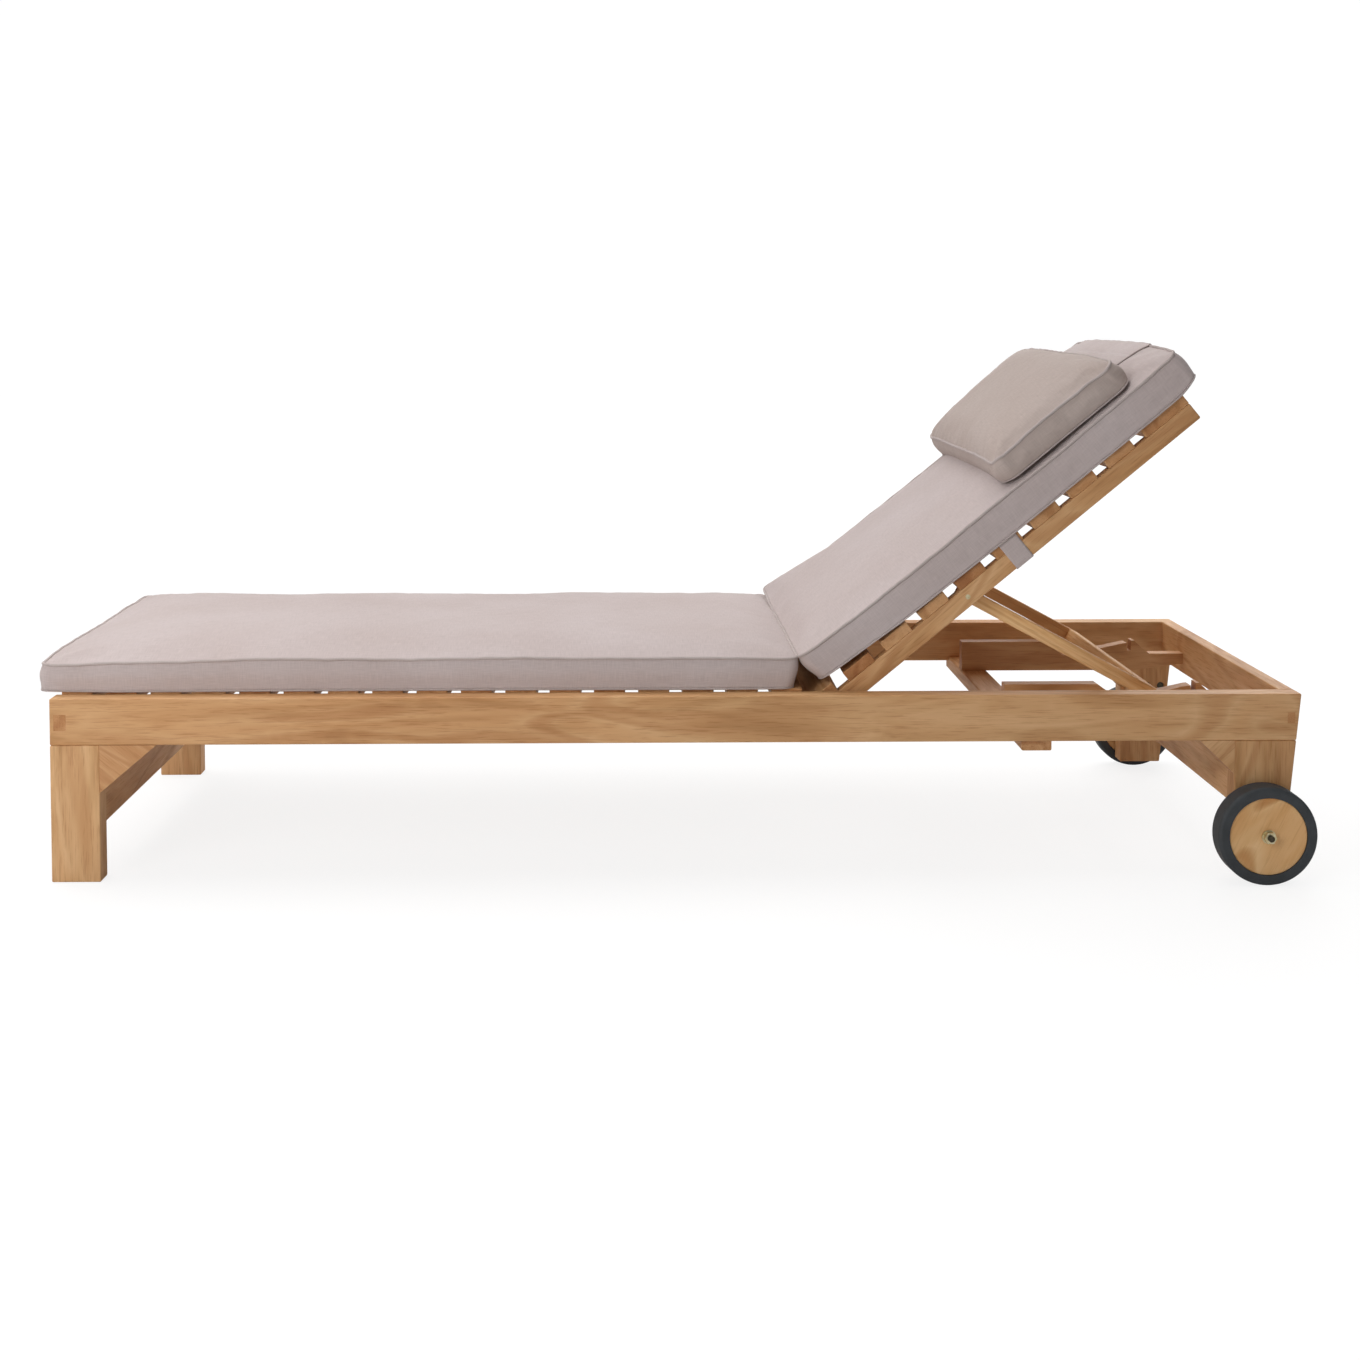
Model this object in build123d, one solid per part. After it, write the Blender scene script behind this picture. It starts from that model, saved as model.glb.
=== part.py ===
from build123d import *
import math
import os

os.makedirs("parts", exist_ok=True)

# Teak sun lounger. X runs from the foot end to the head end, Y from the right side
# to the left side, Z up. Sizes in mm. The frame is drawn with X zero at the foot end
# and is moved to the middle of its bounding box when it is written.

# main frame
FRAME_LENGTH = 2000.0
FRAME_WIDTH = 700.0
RAIL_TOP = 296.0
RAIL_HEIGHT = 75.0
RAIL_THICK = 36.0
EDGE_ROUND = 2.5
SLAT_ROUND = 2.0
GLUE_GAP = 0.05
RAKE_SHARE = 0.104
HALF_WIDTH = FRAME_WIDTH / 2
INNER_HALF = HALF_WIDTH - RAIL_THICK
RAIL_LOW = RAIL_TOP - RAIL_HEIGHT

# end rails and their through tenons
FOOT_RAIL_SETBACK = 4.0
FOOT_RAIL_THICK = 25.0
FOOT_TENON_SHOULDER = 2.5
FOOT_TENON_HEIGHT = 26.0
HEAD_RAIL_THICK = 25.0
HEAD_TENON_THICK = 12.0
HEAD_TENON_HEIGHT = 18.0
TENON_RISE = 36.5
TENON_MIDDLE = RAIL_LOW + TENON_RISE
HEAD_INNER = FRAME_LENGTH - HEAD_RAIL_THICK

# foot legs
LEG_WIDTH = 79.0
LEG_THICK = 37.0
LEG_TENON_WIDTH = 44.0
LEG_TENON_THICK = 14.0
LEG_TENON_COVER = 30.0
LEG_TENON_SHOULDER = 3.0
FOOT_KNEE_REACH = 91.0
FOOT_KNEE_DROP = 77.0
FOOT_STRETCHER_SETBACK = 5.0
FOOT_STRETCHER_THICK = 25.0
FOOT_STRETCHER_HEIGHT = 60.0
STRETCHER_TENON_COVER = 17.0
STRETCHER_TENON_THICK = 12.0
STRETCHER_TENON_HEIGHT = 36.0
LEG_TENON_LENGTH = RAIL_HEIGHT - LEG_TENON_COVER
FOOT_STRETCHER_START = LEG_WIDTH - FOOT_STRETCHER_SETBACK - FOOT_STRETCHER_THICK
FOOT_STRETCHER_HIGH = RAIL_LOW - FOOT_KNEE_DROP
FOOT_STRETCHER_LOW = FOOT_STRETCHER_HIGH - FOOT_STRETCHER_HEIGHT

# wheel legs, measured from the frame's head end
WHEEL_LEG_SET = 106.5
WHEEL_LEG_BOTTOM = 19.0
WHEEL_LEG_THICK = 37.0
WHEEL_KNEE_REACH = 55.0
WHEEL_KNEE_DROP = 54.0
WHEEL_STRETCHER_SETBACK = 9.5
WHEEL_STRETCHER_THICK = 24.0
WHEEL_STRETCHER_DROP = 42.0
WHEEL_STRETCHER_HEIGHT = 70.0
AXLE_SET = 39.9
WHEEL_LEG_INNER = FRAME_LENGTH - WHEEL_LEG_SET
WHEEL_STRETCHER_START = WHEEL_LEG_INNER + WHEEL_STRETCHER_SETBACK
WHEEL_STRETCHER_HIGH = RAIL_LOW - WHEEL_STRETCHER_DROP
WHEEL_STRETCHER_LOW = WHEEL_STRETCHER_HIGH - WHEEL_STRETCHER_HEIGHT
WHEEL_CENTRE_X = WHEEL_LEG_INNER + AXLE_SET

# wheels and axle
TYRE_RADIUS = 78.4
RUBBER_THICK = 16.9
TYRE_WIDTH = 39.0
TYRE_ROUND = 6.0
TYRE_BEAD = 1.0
DISC_INSET = 2.0
WHEEL_GAP = 5.2
AXLE_RADIUS = 5.0
RUNNING_CLEARANCE = 0.05
BUSH_WALL = 2.0
BUSH_PROUD = 0.6
SIDE_CLEARANCE = 0.3
WASHER_RADIUS = 11.0
WASHER_THICK = 2.0
NUT_ACROSS_FLATS = 17.0
NUT_THICK = 8.0
AXLE_END_PROUD = 3.0
AXLE_HEAD_RADIUS = 8.5
AXLE_HEAD_THICK = 5.0
DISC_RADIUS = TYRE_RADIUS - RUBBER_THICK
DISC_THICK = TYRE_WIDTH - 2 * DISC_INSET

# bolts in the wheel legs, placed by shares of the leg's width
BOLT_RADIUS = 4.0
BOLT_HEAD_RADIUS = 6.5
BOLT_HEAD_THICK = 3.0
BOLT_COVER = 7.0
BOLT_DROP = 51.0
BOLT_RECESS = 6.0
BOLT_RECESS_GAP = 0.5
BOLT_SHARES = (0.567, 0.845)
BOLT_LENGTH = WHEEL_LEG_THICK - BOLT_COVER
BOLT_HEIGHT = RAIL_LOW - BOLT_DROP

# backrest, in its own frame: S along the rails from the pivot, N out of the slats
PIVOT_SET = 745.3
PIVOT_DROP = 29.0
BACK_ANGLE = 39.4
BACK_SIDE_GAP = 4.0
BACK_RAIL_THICK = 24.0
BACK_RAIL_DEPTH = 30.0
BACK_RAIL_TAIL = 30.0
BACK_RAIL_END = 756.5
BACK_SLAT_WIDTH = 54.0
BACK_SLAT_TAIL = 28.0
BACK_SLAT_COUNT = 9
HEAD_SLAT_WIDTH = 87.9
SLAT_THICK = 18.0
PIVOT_RADIUS = 5.0
PIVOT_COVER = 14.0
PIVOT_COLLAR_RADIUS = 9.0
PIVOT_X = FRAME_LENGTH - PIVOT_SET
PIVOT_Z = RAIL_TOP - PIVOT_DROP
PIVOT_DEPTH = RAIL_THICK - PIVOT_COVER
BACK_HALF = INNER_HALF - BACK_SIDE_GAP
HEAD_SLAT_START = BACK_RAIL_END - HEAD_SLAT_WIDTH
BACK_SLAT_PITCH = (HEAD_SLAT_START + BACK_SLAT_TAIL) / BACK_SLAT_COUNT
SLAT_FACE = BACK_RAIL_DEPTH / 2 + SLAT_THICK

# prop
PROP_PIVOT_S = 284.0
PROP_REACH = 360.0
PROP_HEEL = 9.0
ARM_DEPTH = 22.0
ARM_THICK = 20.0
ARM_SET = 20.0
BAR_WIDTH = 22.0
BAR_DEPTH = 22.0
BAR_TENON_COVER = 6.0
BAR_TENON_SHOULDER = 5.0
PROP_BOLT_RADIUS = 4.0
PROP_SLEEVE_RADIUS = 8.0
PROP_HEAD_RADIUS = 7.0
PROP_HEAD_THICK = 4.5
ARM_OUTER = BACK_HALF - BACK_RAIL_THICK - ARM_SET
BAR_TENON_LENGTH = ARM_THICK - BAR_TENON_COVER
BAR_TENON_SIZE = BAR_DEPTH - 2 * BAR_TENON_SHOULDER

# seat
SLAT_PROUD = 4.0
SEAT_SLAT_WIDTH = 50.5
SEAT_SLAT_GAP = 21.2
SEAT_SLAT_START = 8.7
SEAT_SLATS_SHORT = 48.3
SLAT_END_GAP = 0.6
CLEAT_WIDTH = 22.0
CLEAT_HEIGHT = 24.0
CLEAT_FOOT_GAP = 3.0
CLEAT_OVER = 0.6
SEAT_TOP = RAIL_TOP + SLAT_PROUD
SLAT_LOW = SEAT_TOP - SLAT_THICK
SEAT_SLATS_END = PIVOT_X - SEAT_SLATS_SHORT
SEAT_SPAN = SEAT_SLATS_END - SEAT_SLAT_START
SEAT_SLAT_COUNT = round((SEAT_SPAN + SEAT_SLAT_GAP) / (SEAT_SLAT_WIDTH + SEAT_SLAT_GAP))
SEAT_SLAT_PITCH = (SEAT_SPAN - SEAT_SLAT_WIDTH) / (SEAT_SLAT_COUNT - 1)
CLEAT_START = FOOT_RAIL_SETBACK + FOOT_RAIL_THICK + CLEAT_FOOT_GAP
CLEAT_END = SEAT_SLATS_END + CLEAT_OVER

# racks, on a beam under the side rails; the prop's bar rests in their notch
BEAM_WIDTH = 48.0
BEAM_HEIGHT = 24.0
BEAM_HOUSING = 7.0
BEAM_SHORT = 10.0
BEAM_LEAD = 1.0
RACK_THICK = 25.0
RACK_SET = 41.0
RACK_AIR = 0.8
RACK_SEAT_RISE = 37.02
RACK_BACK_REACH = 229.3
RACK_TAPER = 90.0
RACK_END_LOW = 12.0
RACK_END_MIDDLE = 22.0
RACK_TENON_HEIGHT = 12.0
HEAD_RAIL_COVER = 15.0
# the top edge: shares of the reach back from the notch and of the notch's height, then
# shares of the way on to the head end rail and of the notch's height
RACK_BACK_SHARES = ((1.0, 1.472), (0.324, 1.472), (0.1627, 0.756), (0.0449, 0.743), (0.01, 1.0))
RACK_HEAD_SHARES = ((0.0617, 1.0), (0.088, 1.05), (0.2356, 1.19), (0.4043, 1.38), (0.436, 1.39),
                    (0.4413, 1.0), (0.478, 1.0), (0.4834, 1.505), (0.5098, 1.52), (0.5888, 1.13),
                    (0.6626, 0.837), (1.0, 0.837))
BEAM_HIGH = RAIL_LOW + BEAM_HOUSING
BEAM_LOW = BEAM_HIGH - BEAM_HEIGHT
RACK_INNER = ARM_OUTER - ARM_THICK - RACK_SET - RACK_THICK
RACK_TENON = HEAD_RAIL_THICK - HEAD_RAIL_COVER
BAR_LOW_Z = BEAM_HIGH + RACK_SEAT_RISE + RACK_AIR

# straps
STRAP_START = 374.0
STRAP_WIDTH = 34.0
STRAP_THICK = 1.4
STRAP_AIR = 0.3

# cushions: each table row is a station along the cushion
SOFT_GAP = 0.4
SIDE_BULGE = 3.0
# seat: shares of the length, the sides' draw, the ends' lift, the seam's drop, the crown
SEAT_PAD_OVERHANG = 19.0
SEAT_PAD_SHORT = 57.7
SEAT_PAD_INSET = 29.0
SEAT_PAD_DRAW = 4.0
SEAT_PAD_LIFT = 5.6
SEAT_PAD_SEAM = 49.5
SEAT_PAD_SEAM_DROP = 6.5
SEAT_PAD_CROWN = 9.5
SEAT_PAD_SHARES = ((0.0, 0.75, 1.0, 1.0, 0.32), (0.012, 0.0, 0.02, 0.23, 0.47),
                   (0.1, 0.25, 0.0, 0.0, 0.84), (0.3, 0.75, 0.0, 0.0, 1.0),
                   (0.5, 1.0, 0.0, 0.0, 1.0), (0.7, 0.75, 0.0, 0.0, 1.0),
                   (0.9, 0.25, 0.0, 0.0, 0.79), (0.988, 0.0, 0.02, 0.23, 0.42),
                   (1.0, 0.75, 1.0, 1.0, 0.32))
SEAT_PAD_START = -SEAT_PAD_OVERHANG
SEAT_PAD_END = PIVOT_X - SEAT_PAD_SHORT
SEAT_PAD_HALF = HALF_WIDTH - SEAT_PAD_INSET
# back: shares of the length, the sides' draw, the ends' lift, the seam, the crown
BACK_PAD_START = 13.0
BACK_PAD_OVERHANG = 41.5
BACK_PAD_PROUD = 10.5
BACK_PAD_DRAW = 3.5
BACK_PAD_LIFT = 26.6
BACK_PAD_SEAM = 56.0
BACK_PAD_CROWN = 10.0
BACK_PAD_SHARES = ((0.0, 1.0, 0.774, 1.054, 0.25), (0.009, 0.14, 0.568, 1.125, 0.3),
                   (0.0535, 0.0, 0.455, 1.107, 0.6), (0.1363, 0.14, 0.323, 1.08, 0.8),
                   (0.2127, 0.43, 0.173, 1.054, 0.9), (0.4675, 0.86, 0.008, 1.009, 1.0),
                   (0.6713, 0.86, 0.0, 1.0, 1.0), (0.8752, 0.43, 0.0, 1.027, 0.85),
                   (0.9414, 0.14, 0.008, 1.045, 0.7), (0.9796, 0.14, 0.361, 1.071, 0.45),
                   (1.0, 1.0, 1.0, 1.054, 0.25))
BACK_PAD_END = BACK_RAIL_END + BACK_PAD_OVERHANG
BACK_PAD_HALF = BACK_HALF + BACK_PAD_PROUD
# pillow: shares of the length, the sides' draw, the sag beside the crown, the ends' lift,
# the seam, the crown
PILLOW_LENGTH = 268.0
PILLOW_SETBACK = 86.0
PILLOW_NARROW = 16.0
PILLOW_DRAW = 2.5
PILLOW_GAP = 1.0
PILLOW_SAG = 6.0
PILLOW_LIFT = 3.0
PILLOW_SEAM = 50.0
PILLOW_CROWN = 12.5
PILLOW_SHARES = ((0.0, 1.0, 0.167, 1.0, 0.72, 0.24), (0.0224, 0.0, 0.917, 0.2, 0.84, 0.4),
                 (0.209, 0.2, 1.0, 0.0, 0.89, 0.84), (0.5075, 0.6, 1.0, 0.0, 0.95, 1.0),
                 (0.806, 0.2, 1.0, 0.0, 1.0, 0.8), (0.974, 0.0, 0.917, 0.133, 1.02, 0.4),
                 (1.0, 1.0, 0.167, 1.0, 0.92, 0.24))
PILLOW_END = BACK_PAD_END - PILLOW_SETBACK
PILLOW_START = PILLOW_END - PILLOW_LENGTH
PILLOW_HALF = BACK_PAD_HALF - PILLOW_NARROW
PILLOW_BASE = SLAT_FACE + BACK_PAD_SEAM + BACK_PAD_CROWN + PILLOW_GAP
# band over the head of the back cushion: shares of its reach and of its drop
FLAP_RIGHT_INSET = 119.5
FLAP_LEFT_INSET = 59.5
FLAP_THICK = 2.4
FLAP_SEWN_GAP = 0.5
FLAP_STAND = 2.8
FLAP_RISE = 2.2
FLAP_DROP = 40.2
FLAP_SHARES = ((0.0, 0.0), (0.311, 0.045), (0.764, 0.065), (0.9785, 0.134), (1.0, 0.353), (1.0, 1.0))
FLAP_START = PILLOW_END + FLAP_SEWN_GAP
FLAP_REACH = BACK_PAD_END + FLAP_STAND - FLAP_START

BOX_START = SEAT_PAD_START
BOX_END = WHEEL_CENTRE_X + TYRE_RADIUS
MIDDLE_X = (BOX_START + BOX_END) / 2


def block(x0, x1, y0, y1, z0, z1):
    """A plain block between two corners."""
    size = Box(x1 - x0, y1 - y0, z1 - z0)
    return Pos((x0 + x1) / 2, (y0 + y1) / 2, (z0 + z1) / 2) * size


def board(x0, x1, y0, y1, z0, z1, round_to=EDGE_ROUND):
    """A planed board with its edges rounded over."""
    body = block(x0, x1, y0, y1, z0, z1)
    return fillet(body.edges(), round_to)


def profile_y(points, y0, y1):
    """A plate with an outline in X and Z, as thick as y0 to y1."""
    line = Wire.make_polygon([Vector(x, y0, z) for x, z in points], close=True)
    return Solid.extrude(Face(line), Vector(0, y1 - y0, 0))


def rod_y(radius, x, z, y0, y1):
    """A round rod along Y."""
    rod = Rot(90, 0, 0) * Cylinder(radius, y1 - y0)
    return Pos(x, (y0 + y1) / 2, z) * rod


def other_side(shape):
    """The same piece on the left side."""
    return mirror(shape, about=Plane.XZ)


def raised(shape):
    """Takes a backrest piece from S and N to its place in the photographed pose."""
    return Pos(PIVOT_X, 0, PIVOT_Z) * (Rot(0, -BACK_ANGLE, 0) * shape)


def head_edge(height):
    """X of the raked head end at a height."""
    return FRAME_LENGTH - (RAIL_TOP - height) * RAKE_SHARE


def side_rail():
    """The right side rail with its mortises, its beam housing and its pivot hole."""
    low_end = head_edge(RAIL_LOW)
    outline = ((0, RAIL_LOW), (low_end, RAIL_LOW), (FRAME_LENGTH, RAIL_TOP), (0, RAIL_TOP))
    rail = profile_y(outline, -HALF_WIDTH, -INNER_HALF)
    rail = fillet(rail.edges(), EDGE_ROUND)
    rail -= foot_tenon_box(GLUE_GAP)
    rail -= head_tenon_box(GLUE_GAP)
    rail -= foot_leg_tenon(GLUE_GAP)
    rail -= wheel_leg_tenon(GLUE_GAP)
    rail -= beam_box(GLUE_GAP)
    rail -= rod_y(PIVOT_RADIUS, PIVOT_X, PIVOT_Z, -INNER_HALF - PIVOT_DEPTH, -INNER_HALF)
    return rail


def foot_tenon_box(gap):
    """The foot end rail's tenon through the right rail."""
    middle = FOOT_RAIL_SETBACK + FOOT_RAIL_THICK / 2
    half_x = FOOT_RAIL_THICK / 2 - FOOT_TENON_SHOULDER + gap
    half_z = FOOT_TENON_HEIGHT / 2 + gap
    return block(middle - half_x, middle + half_x, -HALF_WIDTH, -INNER_HALF,
                 TENON_MIDDLE - half_z, TENON_MIDDLE + half_z)


def head_tenon_box(gap):
    """The head end rail's tenon through the right rail."""
    middle = HEAD_INNER + HEAD_TENON_THICK / 2 + EDGE_ROUND
    half_x = HEAD_TENON_THICK / 2 + gap
    half_z = HEAD_TENON_HEIGHT / 2 + gap
    return block(middle - half_x, middle + half_x, -HALF_WIDTH, -INNER_HALF,
                 TENON_MIDDLE - half_z, TENON_MIDDLE + half_z)


def leg_tenon(middle_x, gap):
    """A leg's blind tenon up into the right rail."""
    half_x = LEG_TENON_WIDTH / 2 + gap
    half_y = LEG_TENON_THICK / 2 + gap
    middle_y = -HALF_WIDTH + RAIL_THICK / 2
    return block(middle_x - half_x, middle_x + half_x, middle_y - half_y, middle_y + half_y,
                 RAIL_LOW, RAIL_LOW + LEG_TENON_LENGTH + gap)


def foot_leg_tenon(gap):
    """The foot leg's tenon."""
    return leg_tenon(LEG_WIDTH - LEG_TENON_SHOULDER - LEG_TENON_WIDTH / 2, gap)


def wheel_leg_tenon(gap):
    """The wheel leg's tenon."""
    return leg_tenon(WHEEL_CENTRE_X, gap)


def beam_box(gap):
    """The end of the beam where it is housed in the right rail."""
    start = beam_start()
    return block(start - gap, start + BEAM_WIDTH + gap, -HALF_WIDTH + BEAM_SHORT,
                 -INNER_HALF, RAIL_LOW, BEAM_HIGH + gap)


def foot_end_rail():
    """The rail across the foot end, with a tenon through each side rail."""
    x1 = FOOT_RAIL_SETBACK + FOOT_RAIL_THICK
    rail = board(FOOT_RAIL_SETBACK, x1, -INNER_HALF, INNER_HALF, RAIL_LOW, SLAT_LOW)
    tenon = foot_tenon_box(0)
    return rail + tenon + other_side(tenon)


def head_end_rail():
    """The raked rail across the head end, with mortises for the racks."""
    outline = ((HEAD_INNER, RAIL_LOW), (head_edge(RAIL_LOW), RAIL_LOW),
               (FRAME_LENGTH, RAIL_TOP), (HEAD_INNER, RAIL_TOP))
    rail = profile_y(outline, -INNER_HALF, INNER_HALF)
    rail = fillet(rail.edges().filter_by(Axis.Y), EDGE_ROUND)
    tenon = head_tenon_box(0)
    rail = rail + tenon + other_side(tenon)
    hole = rack_tenon(GLUE_GAP)
    return rail - hole - other_side(hole)


def foot_leg():
    """The right foot leg, with its tenon and the mortise for the stretcher."""
    leg = board(0, LEG_WIDTH, -HALF_WIDTH, -HALF_WIDTH + LEG_THICK, 0, RAIL_LOW)
    leg += foot_leg_tenon(0)
    return leg - foot_stretcher_tenon(GLUE_GAP)


def stretcher_tenon(x0, thick, low, high, leg_thick, gap):
    """A stretcher's blind tenon in the right leg."""
    inner = HALF_WIDTH - leg_thick
    length = leg_thick - STRETCHER_TENON_COVER
    middle_x = x0 + thick / 2
    middle_z = (low + high) / 2
    half_x = STRETCHER_TENON_THICK / 2 + gap
    half_z = STRETCHER_TENON_HEIGHT / 2 + gap
    return block(middle_x - half_x, middle_x + half_x, -inner - length - gap,
                 -inner, middle_z - half_z, middle_z + half_z)


def foot_stretcher_tenon(gap):
    """The foot stretcher's tenon."""
    return stretcher_tenon(FOOT_STRETCHER_START, FOOT_STRETCHER_THICK, FOOT_STRETCHER_LOW,
                           FOOT_STRETCHER_HIGH, LEG_THICK, gap)


def wheel_stretcher_tenon(gap):
    """The wheel stretcher's tenon."""
    return stretcher_tenon(WHEEL_STRETCHER_START, WHEEL_STRETCHER_THICK, WHEEL_STRETCHER_LOW,
                           WHEEL_STRETCHER_HIGH, WHEEL_LEG_THICK, gap)


def foot_stretcher():
    """The board between the foot legs."""
    half = HALF_WIDTH - LEG_THICK
    body = board(FOOT_STRETCHER_START, FOOT_STRETCHER_START + FOOT_STRETCHER_THICK, -half, half,
                 FOOT_STRETCHER_LOW, FOOT_STRETCHER_HIGH)
    tenon = foot_stretcher_tenon(0)
    return body + tenon + other_side(tenon)


def wheel_stretcher():
    """The board between the wheel legs."""
    half = HALF_WIDTH - WHEEL_LEG_THICK
    body = board(WHEEL_STRETCHER_START, WHEEL_STRETCHER_START + WHEEL_STRETCHER_THICK, -half,
                 half, WHEEL_STRETCHER_LOW, WHEEL_STRETCHER_HIGH)
    tenon = wheel_stretcher_tenon(0)
    return body + tenon + other_side(tenon)


def foot_knee():
    """The triangular block between the right foot leg and the side rail."""
    outline = ((LEG_WIDTH, RAIL_LOW), (LEG_WIDTH, RAIL_LOW - FOOT_KNEE_DROP),
               (LEG_WIDTH + FOOT_KNEE_REACH, RAIL_LOW))
    return profile_y(outline, -HALF_WIDTH, -HALF_WIDTH + LEG_THICK)


def wheel_knee():
    """The triangular block between the right wheel leg and the side rail."""
    outline = ((WHEEL_LEG_INNER, RAIL_LOW), (WHEEL_LEG_INNER - WHEEL_KNEE_REACH, RAIL_LOW),
               (WHEEL_LEG_INNER, RAIL_LOW - WHEEL_KNEE_DROP))
    return profile_y(outline, -HALF_WIDTH, -HALF_WIDTH + WHEEL_LEG_THICK)


def wheel_leg():
    """The right wheel leg, raked at its head side, with the stub axle's hole."""
    outline = ((WHEEL_LEG_INNER, WHEEL_LEG_BOTTOM), (head_edge(WHEEL_LEG_BOTTOM), WHEEL_LEG_BOTTOM),
               (head_edge(RAIL_LOW), RAIL_LOW), (WHEEL_LEG_INNER, RAIL_LOW))
    leg = profile_y(outline, -HALF_WIDTH, -HALF_WIDTH + WHEEL_LEG_THICK)
    leg = fillet(leg.edges(), EDGE_ROUND)
    leg += wheel_leg_tenon(0)
    leg -= wheel_stretcher_tenon(GLUE_GAP)
    leg -= rod_y(AXLE_RADIUS, WHEEL_CENTRE_X, TYRE_RADIUS, -HALF_WIDTH, -HALF_WIDTH + WHEEL_LEG_THICK)
    for spot in bolt_spots():
        leg -= bolt_shank(spot)
        inner = -HALF_WIDTH + WHEEL_LEG_THICK
        leg -= rod_y(BOLT_HEAD_RADIUS + BOLT_RECESS_GAP, spot, BOLT_HEIGHT, inner - BOLT_RECESS, inner)
    return leg


def bolt_spots():
    """X of the bolts, by shares of the leg's width at their height."""
    width = head_edge(BOLT_HEIGHT) - WHEEL_LEG_INNER
    return [WHEEL_LEG_INNER + share * width for share in BOLT_SHARES]


def bolt_shank(x):
    """The shank of a bolt driven outward into the right wheel leg."""
    inner = -HALF_WIDTH + WHEEL_LEG_THICK
    return rod_y(BOLT_RADIUS, x, BOLT_HEIGHT, inner - BOLT_LENGTH, inner - BOLT_RECESS)


def leg_bolts():
    """The bolts in each wheel leg, a pair in each, with their heads sunk in its inner face."""
    seat = -HALF_WIDTH + WHEEL_LEG_THICK - BOLT_RECESS
    bolts = []
    for spot in bolt_spots():
        head = rod_y(BOLT_HEAD_RADIUS, spot, BOLT_HEIGHT, seat, seat + BOLT_HEAD_THICK)
        bolt = bolt_shank(spot) + head
        bolts.append(bolt)
        bolts.append(other_side(bolt))
    return Compound(children=bolts)


def prop_down():
    """The prop's angle below level, in radians, that brings its bar down to the notch."""
    under = BAR_DEPTH - ARM_DEPTH / 2
    fall = PIVOT_Z + PROP_PIVOT_S * math.sin(math.radians(BACK_ANGLE)) - BAR_LOW_Z
    return math.asin(fall / math.hypot(PROP_REACH, under)) - math.atan2(under, PROP_REACH)


def bar_corner():
    """X and Z of the bar's lowest corner in the photographed pose."""
    under = BAR_DEPTH - ARM_DEPTH / 2
    along = PROP_PIVOT_S * math.cos(math.radians(BACK_ANGLE)) + PROP_REACH * math.cos(prop_down())
    return PIVOT_X + along - under * math.sin(prop_down()), BAR_LOW_Z


def rack_start():
    """X of the racks' foot end, a set reach back from the notch."""
    return bar_corner()[0] - RACK_BACK_REACH


def beam_start():
    """X of the beam, which leads the racks a little."""
    return rack_start() - BEAM_LEAD


def beam():
    """The beam under the side rails that carries the racks."""
    half = HALF_WIDTH - BEAM_SHORT
    start = beam_start()
    body = block(start, start + BEAM_WIDTH, -half, half, BEAM_LOW, BEAM_HIGH)
    between = block(start, start + BEAM_WIDTH, -half, -INNER_HALF, RAIL_LOW, BEAM_HIGH)
    body = fillet(body.edges().filter_by(Axis.Y), EDGE_ROUND)
    return body + (between & beam_box(0)) + other_side(between & beam_box(0))


def rack_tenon(gap):
    """The stub tenon of the right rack in the head end rail."""
    third = RACK_THICK / 3
    y0 = -RACK_INNER - RACK_THICK + third - gap
    y1 = -RACK_INNER - third + gap
    middle = BEAM_HIGH + RACK_END_MIDDLE
    half = RACK_TENON_HEIGHT / 2 + gap
    return block(HEAD_INNER, HEAD_INNER + RACK_TENON + gap, y0, y1, middle - half, middle + half)


def rack():
    """The right rack, with the notch that the prop's bar sits in."""
    notch_x, corner_z = bar_corner()
    height = corner_z - RACK_AIR - BEAM_HIGH
    onward = HEAD_INNER - notch_x
    top = [(notch_x - x * RACK_BACK_REACH, BEAM_HIGH + z * height) for x, z in RACK_BACK_SHARES]
    top += [(notch_x + x * onward, BEAM_HIGH + z * height) for x, z in RACK_HEAD_SHARES]
    low = [(HEAD_INNER, BEAM_HIGH + RACK_END_LOW), (HEAD_INNER - RACK_TAPER, BEAM_HIGH),
           (rack_start(), BEAM_HIGH)]
    body = profile_y(top + low, -RACK_INNER - RACK_THICK, -RACK_INNER)
    return body + rack_tenon(0)


def cleat():
    """The right cleat that the seat slats are screwed to."""
    return block(CLEAT_START, CLEAT_END, -INNER_HALF, -INNER_HALF + CLEAT_WIDTH,
                 SLAT_LOW - CLEAT_HEIGHT, SLAT_LOW)


def seat_groups():
    """The seat's slats in three runs, from the foot end: name, first and last count."""
    third = math.ceil(SEAT_SLAT_COUNT / 3)
    return (("foot", 0, third), ("middle", third, 2 * third), ("head", 2 * third, SEAT_SLAT_COUNT))


def seat_slats(first, last):
    """Seat slats between two counts, each a separate solid."""
    half = INNER_HALF - SLAT_END_GAP
    slats = []
    for index in range(first, last):
        x0 = SEAT_SLAT_START + index * SEAT_SLAT_PITCH
        slats.append(board(x0, x0 + SEAT_SLAT_WIDTH, -half, half, SLAT_LOW, SEAT_TOP, SLAT_ROUND))
    return Compound(children=slats)


def back_rail():
    """The right backrest rail with holes for its pivot and for the prop's bolt."""
    outer = -BACK_HALF
    inner = outer + BACK_RAIL_THICK
    half = BACK_RAIL_DEPTH / 2
    rail = board(-BACK_RAIL_TAIL, BACK_RAIL_END, outer, inner, -half, half)
    rail -= rod_y(PIVOT_RADIUS + RUNNING_CLEARANCE, 0, 0, outer, inner)
    rail -= rod_y(PROP_BOLT_RADIUS, PROP_PIVOT_S, 0, outer, inner)
    return raised(rail)


def back_slat(start, end):
    """One backrest slat across both rails."""
    low = BACK_RAIL_DEPTH / 2
    slat = board(start, end, -BACK_HALF, BACK_HALF, low, SLAT_FACE, SLAT_ROUND)
    return raised(slat)


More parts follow.
